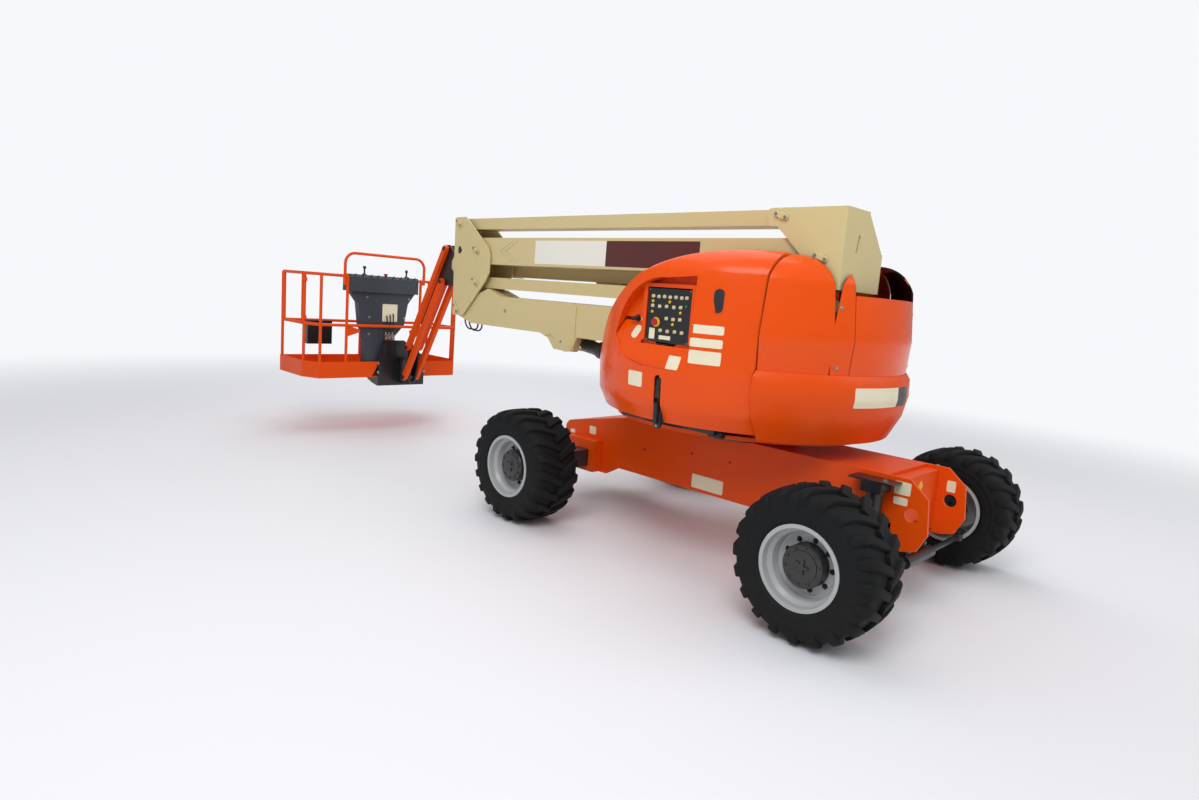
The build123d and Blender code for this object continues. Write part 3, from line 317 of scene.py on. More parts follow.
def smoothShell(node):
    # the mouldings flow from band to band, so their shading does too; no vertex moves
    data = nodes[node].data
    if "custom_normal" in data.attributes:
        data.attributes.remove(data.attributes["custom_normal"])
    data.shade_smooth()
    meeting = {}
    for polygon in data.polygons:
        for index in polygon.vertices:
            meeting.setdefault(placeKey(data.vertices[index]), []).append(polygon)
    normals = [Vector()] * len(data.loops)
    for polygon in data.polygons:
        for loop, index in zip(polygon.loop_indices, polygon.vertices):
            total = Vector()
            for other in meeting[placeKey(data.vertices[index])]:
                if other.normal.dot(polygon.normal) > cos(radians(shells["crease"])):
                    total += other.normal * other.area
            normals[loop] = total.normalized() if total.length > 0 else polygon.normal.copy()
    data.normals_split_custom_set(normals)


for part in frame["record"]["subparts"]:
    paintNode(part["node"], finishes[part["material_slot"]])
for shell in shells["nodes"]:
    smoothShell(shell)
print("finishes on the frame")


def makePiece(name, mesh, material, body, sharpAngle=32):
    bmesh.ops.recalc_face_normals(mesh, faces=mesh.faces)
    data = bpy.data.meshes.new(name)
    mesh.to_mesh(data)
    mesh.free()
    data.shade_smooth()
    data.set_sharp_from_angle(angle=radians(sharpAngle))
    data.materials.append(material)
    piece = bpy.data.objects.new(name, data)
    bpy.context.scene.collection.objects.link(piece)
    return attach(piece, body)


def frameAlong(direction):
    # two unit vectors square to the direction
    d = Vector(direction).normalized()
    side = d.cross(Vector((0, 0, 1)) if abs(d.z) < 0.9 else Vector((1, 0, 0))).normalized()
    return side, d.cross(side)


def addLoops(mesh, loops):
    # skin a row of point rings and close its ends
    rings = [[mesh.verts.new(point) for point in loop] for loop in loops]
    count = len(rings[0])
    for low, high in zip(rings, rings[1:]):
        for i in range(count):
            j = (i + 1) % count
            mesh.faces.new((low[i], low[j], high[j], high[i]))
    mesh.faces.new(rings[0])
    mesh.faces.new(rings[-1])


def addRevolved(mesh, section, segments, place):
    # closed section turned full circle; place(angle, point) gives the position
    rings = [[mesh.verts.new(place(tau * k / segments, point)) for point in section] for k in range(segments)]
    for k in range(segments):
        low, high = rings[k], rings[(k + 1) % segments]
        for i in range(len(section)):
            j = (i + 1) % len(section)
            mesh.faces.new((low[i], low[j], high[j], high[i]))


def addTurned(mesh, place, axis, profile, segments=24, phase=0.0):
    # profile: (radius, along) in mm from place outwards along axis; ends are closed
    side, up = frameAlong(axis)
    along = Vector(axis).normalized()
    angles = [phase + tau * i / segments for i in range(segments)]
    addLoops(mesh, [[place + along * out * mm + (side * cos(a) + up * sin(a)) * radius * mm for a in angles]
                    for radius, out in profile])


def addBolt(mesh, place, axis, size=10, washer=True, phase=0.3):
    # hexagon head with a chamfered top, on a plain washer; size is the head's half width over corners
    base = 0.0
    if washer:
        addTurned(mesh, place, axis, [(size * 1.35, -1), (size * 1.35, 1.6), (size * 1.25, 2.2)], 24)
        base = 2.2
    addTurned(mesh, place, axis, [(size, base - 1), (size, base + size * 0.62),
                                  (size * 0.86, base + size * 0.74)], 6, phase)


def addBox(mesh, low, high, bevel=2.0):
    # box between two corners given in mm from the swing axis, with rounded edges
    a, b = at(*low), at(*high)
    made = bmesh.ops.create_cube(mesh, size=1.0)["verts"]
    for vertex in made:
        vertex.co = Vector([(a[i] + b[i]) / 2 + vertex.co[i] * abs(b[i] - a[i]) for i in range(3)])
    edges = list(dict.fromkeys(edge for vertex in made for edge in vertex.link_edges))  # each one once
    bmesh.ops.bevel(mesh, geom=edges, offset=bevel * mm, segments=2, affect="EDGES", profile=0.6)


def smoothPath(points, steps=6):
    # an even curve through the points
    pts = [Vector(p) for p in points]
    ends = [pts[0] * 2 - pts[1]] + pts + [pts[-1] * 2 - pts[-2]]
    out = []
    for i in range(1, len(ends) - 2):
        p0, p1, p2, p3 = ends[i - 1:i + 3]
        for k in range(steps):
            t = k / steps
            out.append(0.5 * ((2 * p1) + (p2 - p0) * t + (2 * p0 - 5 * p1 + 4 * p2 - p3) * t * t
                              + (3 * p1 - p0 - 3 * p2 + p3) * t ** 3))
    out.append(pts[-1])
    return out


def addTube(mesh, points, radius, segments=12, steps=6):
    # steps of 1 keep the points' corners
    line = smoothPath(points, steps) if steps > 1 else [Vector(p) for p in points]
    side = None
    loops = []
    for i, point in enumerate(line):
        ahead = (line[min(i + 1, len(line) - 1)] - line[max(i - 1, 0)]).normalized()
        if side is None:
            side = frameAlong(ahead)[0]
        else:
            side = (side - ahead * side.dot(ahead)).normalized()
        up = ahead.cross(side)
        loops.append([point + (side * cos(a) + up * sin(a)) * radius * mm
                      for a in (tau * k / segments for k in range(segments))])
    addLoops(mesh, loops)


def obroundOutline(length, width):
    # upright slot with round ends, as points about its middle
    r, half = width / 2, (length - width) / 2
    turns = [pi * i / 12 for i in range(13)]
    return ([(r * cos(a), half + r * sin(a)) for a in turns]
            + [(r * cos(a + pi), -half + r * sin(a + pi)) for a in turns])


def addObround(mesh, centre, length, width, back, front, lip=2):
    # a solid bar with round ends and a chamfered lip, facing the machine's right side
    x, z = centre
    loops = []
    for y, grow in ((back, 1.0), (front + lip, 1.0), (front, 1 - lip / (width / 2))):
        loops.append([at(x + u * grow, y, z + v * grow) for u, v in obroundOutline(length, width)])
    addLoops(mesh, loops)


trees = {}


def surfaceOf(node):
    if node not in trees:
        mesh = nodes[node].data
        trees[node] = BVHTree.FromPolygons([v.co for v in mesh.vertices],
                                           [tuple(p.vertices) for p in mesh.polygons])
    return trees[node]


rayReach = 1.4      # metres, from a start point outside the machine
stickerCell = 14    # mm, so that a sticker follows a curved surface


def insideCorner(x, y, width, height, corner):
    # draws a point that lies beyond a rounded corner back onto it
    ex, ey = abs(x) - (width / 2 - corner), abs(y) - (height / 2 - corner)
    if ex <= 0 or ey <= 0 or (ex * ex + ey * ey) <= corner * corner:
        return x, y
    shrink = corner / (ex * ex + ey * ey) ** 0.5
    return ((width / 2 - corner + ex * shrink) * (1 if x > 0 else -1),
            (height / 2 - corner + ey * shrink) * (1 if y > 0 else -1))


def addSticker(mesh, node, rayAt, width, height, corner, lift=0.7):
    # a thin sheet on the node's own surface; rayAt(across, up) gives a start point and a direction to it
    columns = max(4, min(40, int(width / stickerCell)))
    rows = max(4, min(20, int(height / stickerCell)))
    grid = []
    for j in range(rows + 1):
        line = []
        for i in range(columns + 1):
            x, y = insideCorner((i / columns - 0.5) * width, (j / rows - 0.5) * height, width, height, corner)
            start, direction = rayAt(x, y)
            hit, normal, _, _ = surfaceOf(node).ray_cast(start, direction, rayReach)
            if hit is None:
                line.append(None)
                continue
            if normal.dot(direction) > 0:
                normal = -normal
            line.append((mesh.verts.new(hit + normal * lift * mm), mesh.verts.new(hit - normal * 0.3 * mm)))
        grid.append(line)
    edges = {}
    for j in range(rows):
        for i in range(columns):
            cell = (grid[j][i], grid[j][i + 1], grid[j + 1][i + 1], grid[j + 1][i])
            if None in cell:
                continue
            mesh.faces.new([v[0] for v in cell])
            mesh.faces.new([v[1] for v in reversed(cell)])
            for a, b in zip(cell, cell[1:] + cell[:1]):
                edges.setdefault(frozenset((id(a), id(b))), []).append((a, b))
    for pairs in edges.values():
        if len(pairs) == 1:
            a, b = pairs[0]
            mesh.faces.new((a[0], b[0], b[1], a[1]))


def nearSide(x, z, y=-1300):
    # rays towards the machine's left, from its right side
    def ray(across, up):
        return at(x + across, y, z + up), Vector((0, 1, 0))
    return ray


def roundBody(angle, z, radius=1300):
    # rays towards the swing axis; across follows the round body
    def ray(across, up):
        a = radians(angle) + across / 1035
        return at(radius * cos(a), radius * sin(a), z + up), Vector((-cos(a), -sin(a), 0))
    return ray


def facingAft(y, z, x, tilt=0.0):
    # rays in -X, onto faces that look towards the steered axle
    def ray(across, up):
        c, s = cos(radians(tilt)), sin(radians(tilt))
        return at(x, y + across * c - up * s, z + across * s + up * c), Vector((-1, 0, 0))
    return ray


wheel = {
    "lugs": 20,             # on each side, staggered
    "lugWidth": 50,         # mm, as are all sizes below
    "lugFlare": 5,          # how far a lug's foot spreads
    "lugChamfer": 4,
    "segments": 120,
    "rimBolts": 9,
    "rimBoltCircle": 131,
    "hubBolts": 10,
    "hubBoltCircle": 95,
    "valveCircle": 166,
    "discFace": 62,         # outer face of the rim's disc, from the wheel's middle plane
    "seat": (150, 208),     # half width and radius of the carcass's inner corners
    # rubber carcass as (half width, radius) from bead to crown, ridges included
    "carcass": ((168, 210), (168, 222), (178, 229), (185, 238), (187.5, 246), (186.5, 252), (188, 262),
                (189.5, 266), (188, 270), (188, 296), (189.5, 300), (188, 304), (186, 326), (181, 346),
                (170, 362), (150, 373), (118, 379), (80, 382), (40, 383), (0, 383)),
    # lug's centre line: half width, radius at its foot, half width, radius at its top, turn in degrees,
    # share of the lug's width
    "lugLine": ((-14, 380, -14, 406.5, 0.0, 0.82), (30, 380, 30, 406.5, 3.2, 0.92),
                (78, 379, 78, 405.5, 6.6, 1.0), (122, 374, 124, 402, 9.6, 1.06),
                (150, 366, 158, 394, 11.0, 1.08), (168, 354, 180, 378, 11.6, 1.02),
                (178, 336, 189, 352, 11.9, 0.86), (183, 318, 190, 330, 12.0, 0.7)),
    # hub as (radius, outwards from the middle plane), drum then cap
    "hub": ((114.5, 60.5), (114.5, 70), (113.5, 72), (113.5, 124), (110, 129), (100, 131.5), (84, 131.5),
            (82, 136), (60, 138), (20, 139)),
    "hubBoltFace": 131.5,
    # five-armed wrench boss: outwards, share of its size
    "boss": ((135, 1.0), (144, 1.0), (146.5, 0.93)),
    "bossRadius": (30, 13),  # mean radius and how far the arms go past it
}


def addLug(mesh, centre, hand, start):
    widest = wheel["lugWidth"] / 2
    flare, chamfer = wheel["lugFlare"], wheel["lugChamfer"]
    loops = []
    for base, baseRadius, top, topRadius, turn, factor in wheel["lugLine"]:
        half = widest * factor
        foot = baseRadius - 3  # sunk into the carcass
        loop = []
        for across, share in ((-half - flare, 0.0), (-half, 0.86), (-half + chamfer, 1.0),
                              (half - chamfer, 1.0), (half, 0.86), (half + flare, 0.0)):
            r = foot + (topRadius - foot) * share
            a = base + (top - base) * share
            point = start + radians(turn) + across / r
            loop.append(centre + Vector((r * cos(point), hand * a, r * sin(point))) * mm)
        loops.append(loop)
    addLoops(mesh, loops)


def makeTyre(name, centre, body, node):
    carcass = wheel["carcass"]
    width, radius = wheel["seat"]
    section = [(a, r) for a, r in carcass] + [(-a, r) for a, r in reversed(carcass[:-1])]
    section += [(-width, radius), (width, radius)]

    def roundAxle(angle, point):
        out, r = point
        return centre + Vector((r * cos(angle), out, r * sin(angle))) * mm

    mesh = bmesh.new()
    addRevolved(mesh, section, wheel["segments"], roundAxle)
    for hand in (1, -1):
        for lug in range(wheel["lugs"]):
            addLug(mesh, centre, hand, tau * (lug + (0.5 if hand < 0 else 0)) / wheel["lugs"])
    piece = makePiece(name, mesh, tyreRubber, body, 35)
    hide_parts(node)


def makeHub(name, centre, outward, body):
    axis = Vector((0, outward, 0))

    def spoke(angle, radius):
        return centre + Vector((cos(angle) * radius, 0, sin(angle) * radius)) * mm

    mesh = bmesh.new()
    addTurned(mesh, centre, axis, wheel["hub"], 64)
    mean, arm = wheel["bossRadius"]
    addLoops(mesh, [[spoke(a, (mean + arm * cos(5 * a)) * grow) + axis * out * mm
                     for a in (tau * i / 40 for i in range(40))] for out, grow in wheel["boss"]])
    for i in range(wheel["hubBolts"]):
        a = tau * i / wheel["hubBolts"] + 0.2
        addBolt(mesh, spoke(a, wheel["hubBoltCircle"]) + axis * wheel["hubBoltFace"] * mm, axis, 8, False, a)
    piece = makePiece(name + "Hub", mesh, blackEnamel, body)
    mesh = bmesh.new()
    for i in range(wheel["rimBolts"]):
        a = tau * i / wheel["rimBolts"]
        spot = spoke(a, wheel["rimBoltCircle"])
        addBolt(mesh, spot + axis * wheel["discFace"] * mm, axis, 11, True, a)
        addTurned(mesh, spot, axis, [(6, 64), (6, 80), (5, 82)], 12)
    makePiece(name + "Nuts", mesh, darkSteel, body)
    mesh = bmesh.new()
    addTurned(mesh, spoke(0.9, wheel["valveCircle"]), axis,
              [(5, 60), (5, 78), (3.4, 80), (3.4, 96), (2.6, 97)], 12)
    makePiece(name + "Valve", mesh, darkSteel, body)


for end in ("front", "rear"):
    for side in ("left", "right"):
        node = f"{end}_{side}_tyre"
        low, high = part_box(node)
        centre = (Vector(low) + Vector(high)) / 2
        body = f"{end}_{side}_wheel"
        name = end + side.capitalize() + "Wheel"
        makeTyre(name + "Tyre", centre, body, node)
        makeHub(name, centre, 1 if side == "left" else -1, body)
print("wheels ready")

hoodLabels = (
    # degrees round the swing axis, height, width, depth
    (-70.6, 1520, 200, 50), (-70.6, 1443, 198, 50), (-70.6, 1359, 196, 78), (-97.2, 1180, 128, 92),
)
mesh = bmesh.new()
for angle, z, width, height in hoodLabels:
    addSticker(mesh, "near_hood", roundBody(angle, z), width, height, 6)
makePiece("hoodLabels", mesh, creamVinyl, "near_hood", 60)


def arcThrough(a, b, c, count):
    # points on the circle through three points, from a to c
    (ax, ay), (bx, by), (cx, cy) = a, b, c
    aa, bb, cc = ax * ax + ay * ay, bx * bx + by * by, cx * cx + cy * cy
    d = 2 * (ax * (by - cy) + bx * (cy - ay) + cx * (ay - by))
    ux = (aa * (by - cy) + bb * (cy - ay) + cc * (ay - by)) / d
    uy = (aa * (cx - bx) + bb * (ax - cx) + cc * (bx - ax)) / d
    radius = ((ax - ux) ** 2 + (ay - uy) ** 2) ** 0.5
    first, middle, last = (atan2(y - uy, x - ux) for x, y in (a, b, c))
    sweep = (last - first) % tau
    if (middle - first) % tau > sweep:
        sweep -= tau
    return [(ux + radius * cos(first + sweep * k / count), uy + radius * sin(first + sweep * k / count))
            for k in range(count + 1)]


# sloped ledge below the control panel, moulded with the hood
ledge = {
    "back": (-900, 1530),        # y and z of the slope's upper edge
    "front": (-1010, 1265),      # and of its lower edge
    "wall": 7,
    "frame": (-170, 225, 1397),  # left, right and lower edge of the panel's frame, which it goes round
    "tip": -357,                 # x of the left end of its upper edge
    "sideArc": ((-370, 1500), (-382, 1395), (-300, 1320)),
    "lowArc": ((-300, 1320), (-130, 1275), (60, 1262)),
    "right": 244,
    "low": 1262,
    "arcSteps": 8,
}
hoodShell = {"radius": 1035, "taper": 30, "taperFrom": 1250, "taperOver": 595}  # narrows by 30 mm upwards
slopeRate = (ledge["front"][0] - ledge["back"][0]) / (ledge["back"][1] - ledge["front"][1])


def ledgeY(x, z):
    # on the slope, but no further out than just under the hood's round skin
    rise = max(0, z - hoodShell["taperFrom"])
    radius = hoodShell["radius"] - hoodShell["taper"] * rise / hoodShell["taperOver"]
    return max(ledge["back"][0] + slopeRate * (ledge["back"][1] - z), -((radius - 2) ** 2 - x * x) ** 0.5)


def makeLedge():
    top = ledge["back"][1]
    left, right, frameLow = ledge["frame"]
    outline = [(left, top), (ledge["tip"], top)]
    outline += arcThrough(*ledge["sideArc"], ledge["arcSteps"])
    outline += arcThrough(*ledge["lowArc"], ledge["arcSteps"])[1:]
    outline += [(150, ledge["low"]), (ledge["right"], ledge["low"]), (ledge["right"], 1400)]
    outline += [(ledge["right"], top), (right, top)]
    outline += [(x, frameLow) for x in (right, 100, -40, left)]
    mesh = bmesh.new()
    outer, inner = ([mesh.verts.new(at(x, ledgeY(x, z) + depth, z)) for x, z in outline]
                    for depth in (0, ledge["wall"]))
    mesh.faces.new(outer)
    mesh.faces.new(inner)
    for i in range(len(outline)):
        j = (i + 1) % len(outline)
        mesh.faces.new((outer[i], outer[j], inner[j], inner[i]))
    bmesh.ops.triangulate(mesh, faces=[face for face in mesh.faces if len(face.verts) > 4])
    piece = makePiece("recessLedge", mesh, orangeGelcoat, "near_hood")


makeLedge()
ledgeLabels = (
    # centre x and z, half width, half height, tilt in degrees, corner radius
    ((136, 1306), 46, 40, 0, 5),
    ((-232, 1462), 27, 42, -24, 26),
)
ledgeNormal = Vector((0, -0.923, 0.383))
mesh = bmesh.new()
for centre, halfWidth, halfHeight, tilt, corner in ledgeLabels:
    ring = []
    for k in range(32):
        a = tau * k / 32
        u = (halfWidth - corner) * (1 if cos(a) > 0 else -1) + corner * cos(a)
        v = (halfHeight - corner) * (1 if sin(a) > 0 else -1) + corner * sin(a)
        c, s = cos(radians(tilt)), sin(radians(tilt))
        x, z = centre[0] + u * c - v * s, centre[1] + u * s + v * c
        ring.append(at(x, ledgeY(x, z), z))
    addLoops(mesh, [[p - ledgeNormal * 0.5 * mm for p in ring], [p + ledgeNormal * 0.8 * mm for p in ring]])
makePiece("ledgeLabels", mesh, creamVinyl, "near_hood", 60)

hoodRelease = {
    "place": (-246, -901, 1540),
    "axis": (0, -1, 0.25),
    "stem": ((17, -3), (17, 3), (8, 5), (8, 24), (12, 27)),
    "handleOut": 34,
    "handleAxis": (0.94, 0, 0.34),
    "handleHalf": 34,
    "handle": ((5, 0), (11, 4), (12, 12), (9, 30), (9, 38), (12, 56), (11, 64), (5, 68)),
}
mesh = bmesh.new()
knob = at(*hoodRelease["place"])
addTurned(mesh, knob, hoodRelease["axis"], hoodRelease["stem"], 24)
side = Vector(hoodRelease["handleAxis"])
head = knob + Vector(hoodRelease["axis"]).normalized() * hoodRelease["handleOut"] * mm
addTurned(mesh, head - side * hoodRelease["handleHalf"] * mm, side, hoodRelease["handle"], 20)
makePiece("hoodRelease", mesh, blackPlasticAndHoleShade, "near_hood")


def addSurfaceObround(mesh, node, centre, length, width, low, high):
    # an upright bar with round ends laid on the node's surface, between two heights over it
    x, z = centre
    lower, upper = [], []
    for u, v in obroundOutline(length, width):
        hit, normal, _, _ = surfaceOf(node).ray_cast(at(x + u, -1300, z + v), Vector((0, 1, 0)), rayReach)
        if normal.y > 0:
            normal = -normal
        lower.append(hit + normal * low * mm)
        upper.append(hit + normal * high * mm)
    addLoops(mesh, [lower, upper])


sightSlot = {"centre": (381, 1687), "rim": (152, 71, 2.2), "lens": (138, 57, 2.6)}  # length, width, height
for name, key, finish in (("sightSlotRim", "rim", orangeGelcoat), ("sightSlotLens", "lens", blackPlasticAndHoleShade)):
    length, width, height = sightSlot[key]
    mesh = bmesh.new()
    addSurfaceObround(mesh, "near_hood", sightSlot["centre"], length, width, -1, height)
    makePiece(name, mesh, finish, "near_hood")

hoodLatch = {
    "x": 60,
    "plate": (1060, 326, 49, -985, -1004),            # height of its middle, length, width, back and front
    "blocks": ((20, -1022, 1085, 1205), (14, -1030, 930, 1062)),  # half width, front, low and high end
    "blockBack": -1000,
    "buttonPlace": (-1018, 1145),
    "button": ((15, -4), (15, 9), (12, 12)),
    "screws": (915, 1212),
}
x = hoodLatch["x"]
middle, length, width, back, front = hoodLatch["plate"]
mesh = bmesh.new()
addObround(mesh, (x, middle), length, width, back, front)
for half, out, low, high in hoodLatch["blocks"]:
    addBox(mesh, (x - half, out, low), (x + half, hoodLatch["blockBack"], high), 6)
addTurned(mesh, at(x, *hoodLatch["buttonPlace"]), (0, -1, 0), hoodLatch["button"], 20)
makePiece("hoodLatch", mesh, blackPlasticAndHoleShade, "near_hood")
mesh = bmesh.new()
for z in hoodLatch["screws"]:
    addBolt(mesh, at(x, front, z), (0, -1, 0), 7)
makePiece("hoodLatchScrews", mesh, zincSteel, "near_hood")

hoodBumper = {"low": (310, -823, 884), "high": (410, -779, 924)}
mesh = bmesh.new()
addBox(mesh, hoodBumper["low"], hoodBumper["high"], 4)
makePiece("hoodBumper", mesh, hoseRubber, "near_hood")
print("hood dressed")

# ground control panel
panel = {
    "face": -948,
    "knobs": ((-96, 1690), (-52, 1688), (-8, 1690), (36, 1688), (80, 1690), (124, 1688), (162, 1690),
              (-96, 1632), (-40, 1630), (14, 1632), (70, 1630), (122, 1632),
              (20, 1560), (72, 1558), (124, 1560), (-20, 1486), (36, 1484), (92, 1486), (146, 1484)),
    "caps": ((-96, 1660), (36, 1660), (124, 1600), (72, 1528), (-96, 1596)),
    "stop": (-62, 1534),
    "lamp": (162, 1640),
    "plates": ((-110, -66, 1430, 1496), (-30, 60, 1432, 1456)),  # left, right, low, high
    "screws": ((-126, 186), (1423, 1729)),
    "backplate": ((-190, -880, 1400), (250, -874, 1800)),
    "standoffs": ((-112, 172), (1440, 1712)),
}
face = panel["face"]
out = (0, -1, 0)
stopX, stopZ = panel["stop"]
mesh = bmesh.new()
for x, z in panel["knobs"]:
    addTurned(mesh, at(x, face, z), out, [(11, -1), (11, 2), (8, 3), (8, 9), (6.5, 11)], 20)
    addBox(mesh, (x - 2.2, face - 17, z - 9), (x + 2.2, face - 9, z + 9), 1.2)
addTurned(mesh, at(stopX, face, stopZ), out, [(14, -1), (14, 12), (13, 13)], 28)
makePiece("panelSwitches", mesh, creamPlastic, "turntable")
mesh = bmesh.new()
for x, z in panel["caps"]:
    addTurned(mesh, at(x, face, z), out, [(9, -1), (9, 6), (7, 8)], 20)
makePiece("panelCaps", mesh, yellowPlastic, "turntable")
mesh = bmesh.new()
addTurned(mesh, at(stopX, face, stopZ), out, [(30, -0.5), (30, 1.5), (29, 2)], 36)
makePiece("stopRing", mesh, yellowPlastic, "turntable")
mesh = bmesh.new()
addTurned(mesh, at(stopX, face, stopZ), out, [(15, 10), (21, 13), (22, 17), (20, 22), (14, 25), (5, 26)], 32)
makePiece("stopButton", mesh, redPlastic, "turntable")
mesh = bmesh.new()
addTurned(mesh, at(panel["lamp"][0], face, panel["lamp"][1]), out, [(9, -1), (9, 4), (7, 8), (3, 10)], 20)
makePiece("panelLamp", mesh, greenLens, "turntable")
mesh = bmesh.new()
for left, right, low, high in panel["plates"]:
    addBox(mesh, (left, face - 1.2, low), (right, face + 1, high), 0.5)
makePiece("panelPlates", mesh, creamVinyl, "turntable")
mesh = bmesh.new()
for x in panel["screws"][0]:
    for z in panel["screws"][1]:
        addBolt(mesh, at(x, face, z), out, 4.5, False)
makePiece("panelScrews", mesh, zincSteel, "turntable")
mesh = bmesh.new()
addBox(mesh, *panel["backplate"], 1.5)
for x in panel["standoffs"][0]:
    for z in panel["standoffs"][1]:
        addTurned(mesh, at(x, face + 4, z), (0, 1, 0), [(9, 0), (9, 66), (8, 67)], 16)
makePiece("panelBackplate", mesh, blackPlasticAndHoleShade, "turntable")
print("control panel dressed")

# name, finish, degrees round the swing axis, height, width, depth
counterweightDecals = (
    ("counterweightDecal", creamVinyl, -9.2, 1196, 423, 118),
    ("counterweightPlate", blackVinylAndHoleShade, 7.6, 1196, 180, 118),
)
for name, finish, angle, z, width, height in counterweightDecals:
    mesh = bmesh.new()
    addSticker(mesh, "counterweight", roundBody(angle, z), width, height, 4)
    makePiece(name, mesh, finish, "turntable", 60)

covers = {
    "boltAngles": (-28.2, 28.2),
    "boltHeights": (1364, 1700),
    "shadeSheetLift": 1.5,     # mm off the moulding's inner face
    "shadeSheetFacing": 0.35,  # how squarely a face has to look at the swing axis to get the painted shade sheet
}
mesh = bmesh.new()
for angle in covers["boltAngles"]:
    for z in covers["boltHeights"]:
        start, direction = roundBody(angle, z)(0, 0)
        hit, normal, _, _ = surfaceOf("rear_covers").ray_cast(start, direction)
        if hit is not None:
            addBolt(mesh, hit, normal, 9)
makePiece("coverBolts", mesh, zincSteel, "turntable")


def addInnerShadeSheet(mesh, node, lift, facing):
    # a thin dark sheet over the faces that look towards the swing axis: painted shade on the covers' insides
    data = nodes[node].data
    faces = []
    places, lean = {}, {}
    for polygon in data.polygons:
        outward = Vector((polygon.center.x - swingX, polygon.center.y, 0)).normalized()
        if polygon.normal.dot(outward) >= -facing:
            continue
        keys = [placeKey(data.vertices[index]) for index in polygon.vertices]
        faces.append(keys)
        for key, index in zip(keys, polygon.vertices):
            places[key] = data.vertices[index].co.copy()
            lean[key] = lean.get(key, Vector()) + polygon.normal * polygon.area
    inner = {key: mesh.verts.new(place + lean[key].normalized() * lift * mm) for key, place in places.items()}
    outer = {key: mesh.verts.new(place - lean[key].normalized() * 0.4 * mm) for key, place in places.items()}
    borders = {}
    for keys in faces:
        if len(set(keys)) < 3:
            continue
        mesh.faces.new([inner[key] for key in keys])
        mesh.faces.new([outer[key] for key in reversed(keys)])
        for first, second in zip(keys, keys[1:] + keys[:1]):
            if (second, first) in borders:
                del borders[(second, first)]
            else:
                borders[(first, second)] = True
    for first, second in borders:
        mesh.faces.new((inner[second], inner[first], outer[first], outer[second]))


# painted shade: the rear covers' inward faces drawn dark
mesh = bmesh.new()
addInnerShadeSheet(mesh, "rear_covers", covers["shadeSheetLift"], covers["shadeSheetFacing"])
makePiece("coverInnerShade", mesh, castIronAndCoverShade, "turntable", 60)
print("counterweight and covers dressed")

# two blank sheets side by side on the middle boom; white goes to the split, maroon on from it
boomDecal = {"left": -1823, "split": -1012, "right": -150, "low": 1880, "high": 2066}
centreZ = (boomDecal["low"] + boomDecal["high"]) / 2
for name, start, end, vinyl in (("boomDecal", "left", "split", whiteVinyl),
                                ("boomDecalPanel", "split", "right", maroonVinyl)):
    width = boomDecal[end] - boomDecal[start]
    middle = (boomDecal[end] + boomDecal[start]) / 2
    mesh = bmesh.new()
    addSticker(mesh, "mid_boom", nearSide(middle, centreZ), width, boomDecal["high"] - boomDecal["low"], 3)
    makePiece(name, mesh, vinyl, "mid_boom", 60)

keeper = {
    "half": 34,    # from the middle to each bolt
    "width": 34,
    "face": -504,  # the pins' near ends
    "layers": ((-4, 1.0), (6, 1.0), (7.5, 0.9)),  # outwards from the face, share of the end's radius
    # x, z, lean in degrees from the level
    "upright": ((-2869, 1448, -50), (-2596, 1702, -36), (-2598, 1978, -32), (-2881, 2216, -36)),
    "riser": ((454, 2216, -20), (737, 1978, -20)),
}


def addKeeper(bar, bolts, x, z, lean):
    # flat bar over the pin's end, held by two bolts
    c, s = cos(radians(lean)), sin(radians(lean))
    half, radius, face = keeper["half"], keeper["width"] / 2, keeper["face"]
    loops = []
    for depth, grow in keeper["layers"]:
        ring = []
        for k in range(24):
            a = tau * k / 24
            u = (half if cos(a) > 0 else -half) + radius * cos(a) * grow
            v = radius * sin(a) * grow
            ring.append(at(x + u * c - v * s, face - depth, z + u * s + v * c))
        loops.append(ring)
    addLoops(bar, loops)
    for sign in (1, -1):
        addBolt(bolts, at(x + sign * half * c, face - 7.5, z + sign * half * s), (0, -1, 0), 9)


for name, key, body in (("uprightKeeper", "upright", "tower_upright"),
                        ("riserKeeper", "riser", "tower_riser")):
    bar, bolts = bmesh.new(), bmesh.new()
    for x, z, lean in keeper[key]:
        addKeeper(bar, bolts, x, z, lean)
    makePiece(name + "Bars", bar, creamEnamel, body)
    makePiece(name + "Bolts", bolts, zincSteel, body)

chevron = {"bead": 4.5, "side": -470.5, "ends": (-2128, -2060), "point": 152, "low": 1896, "high": 2060}
middle = (chevron["low"] + chevron["high"]) / 2
mesh = bmesh.new()
for x in chevron["ends"]:
    addTube(mesh, [at(x, chevron["side"], chevron["high"]), at(x - chevron["point"], chevron["side"], middle),
                   at(x, chevron["side"], chevron["low"])], chevron["bead"], 8, 1)
makePiece("midBoomWelds", mesh, creamEnamel, "mid_boom")

lowerBoomBolts = (
    # x, y, z, size
    (-2175, -470, 1472, 11), (-1434, -478, 1284, 8),
)
mesh = bmesh.new()
for x, y, z, size in lowerBoomBolts:
    addBolt(mesh, at(x, y, z), (0, -1, 0), size)
makePiece("lowerBoomBolts", mesh, zincSteel, "lower_boom")

# the hole drawn as a thin black slab: painted shade in the hole
uprightHoleShade = {"centre": (-2859, 1977), "length": 70, "width": 44, "back": -494, "front": -497.5}
mesh = bmesh.new()
addObround(mesh, **uprightHoleShade)
makePiece("uprightHoleShade", mesh, blackPlasticAndHoleShade, "tower_upright")

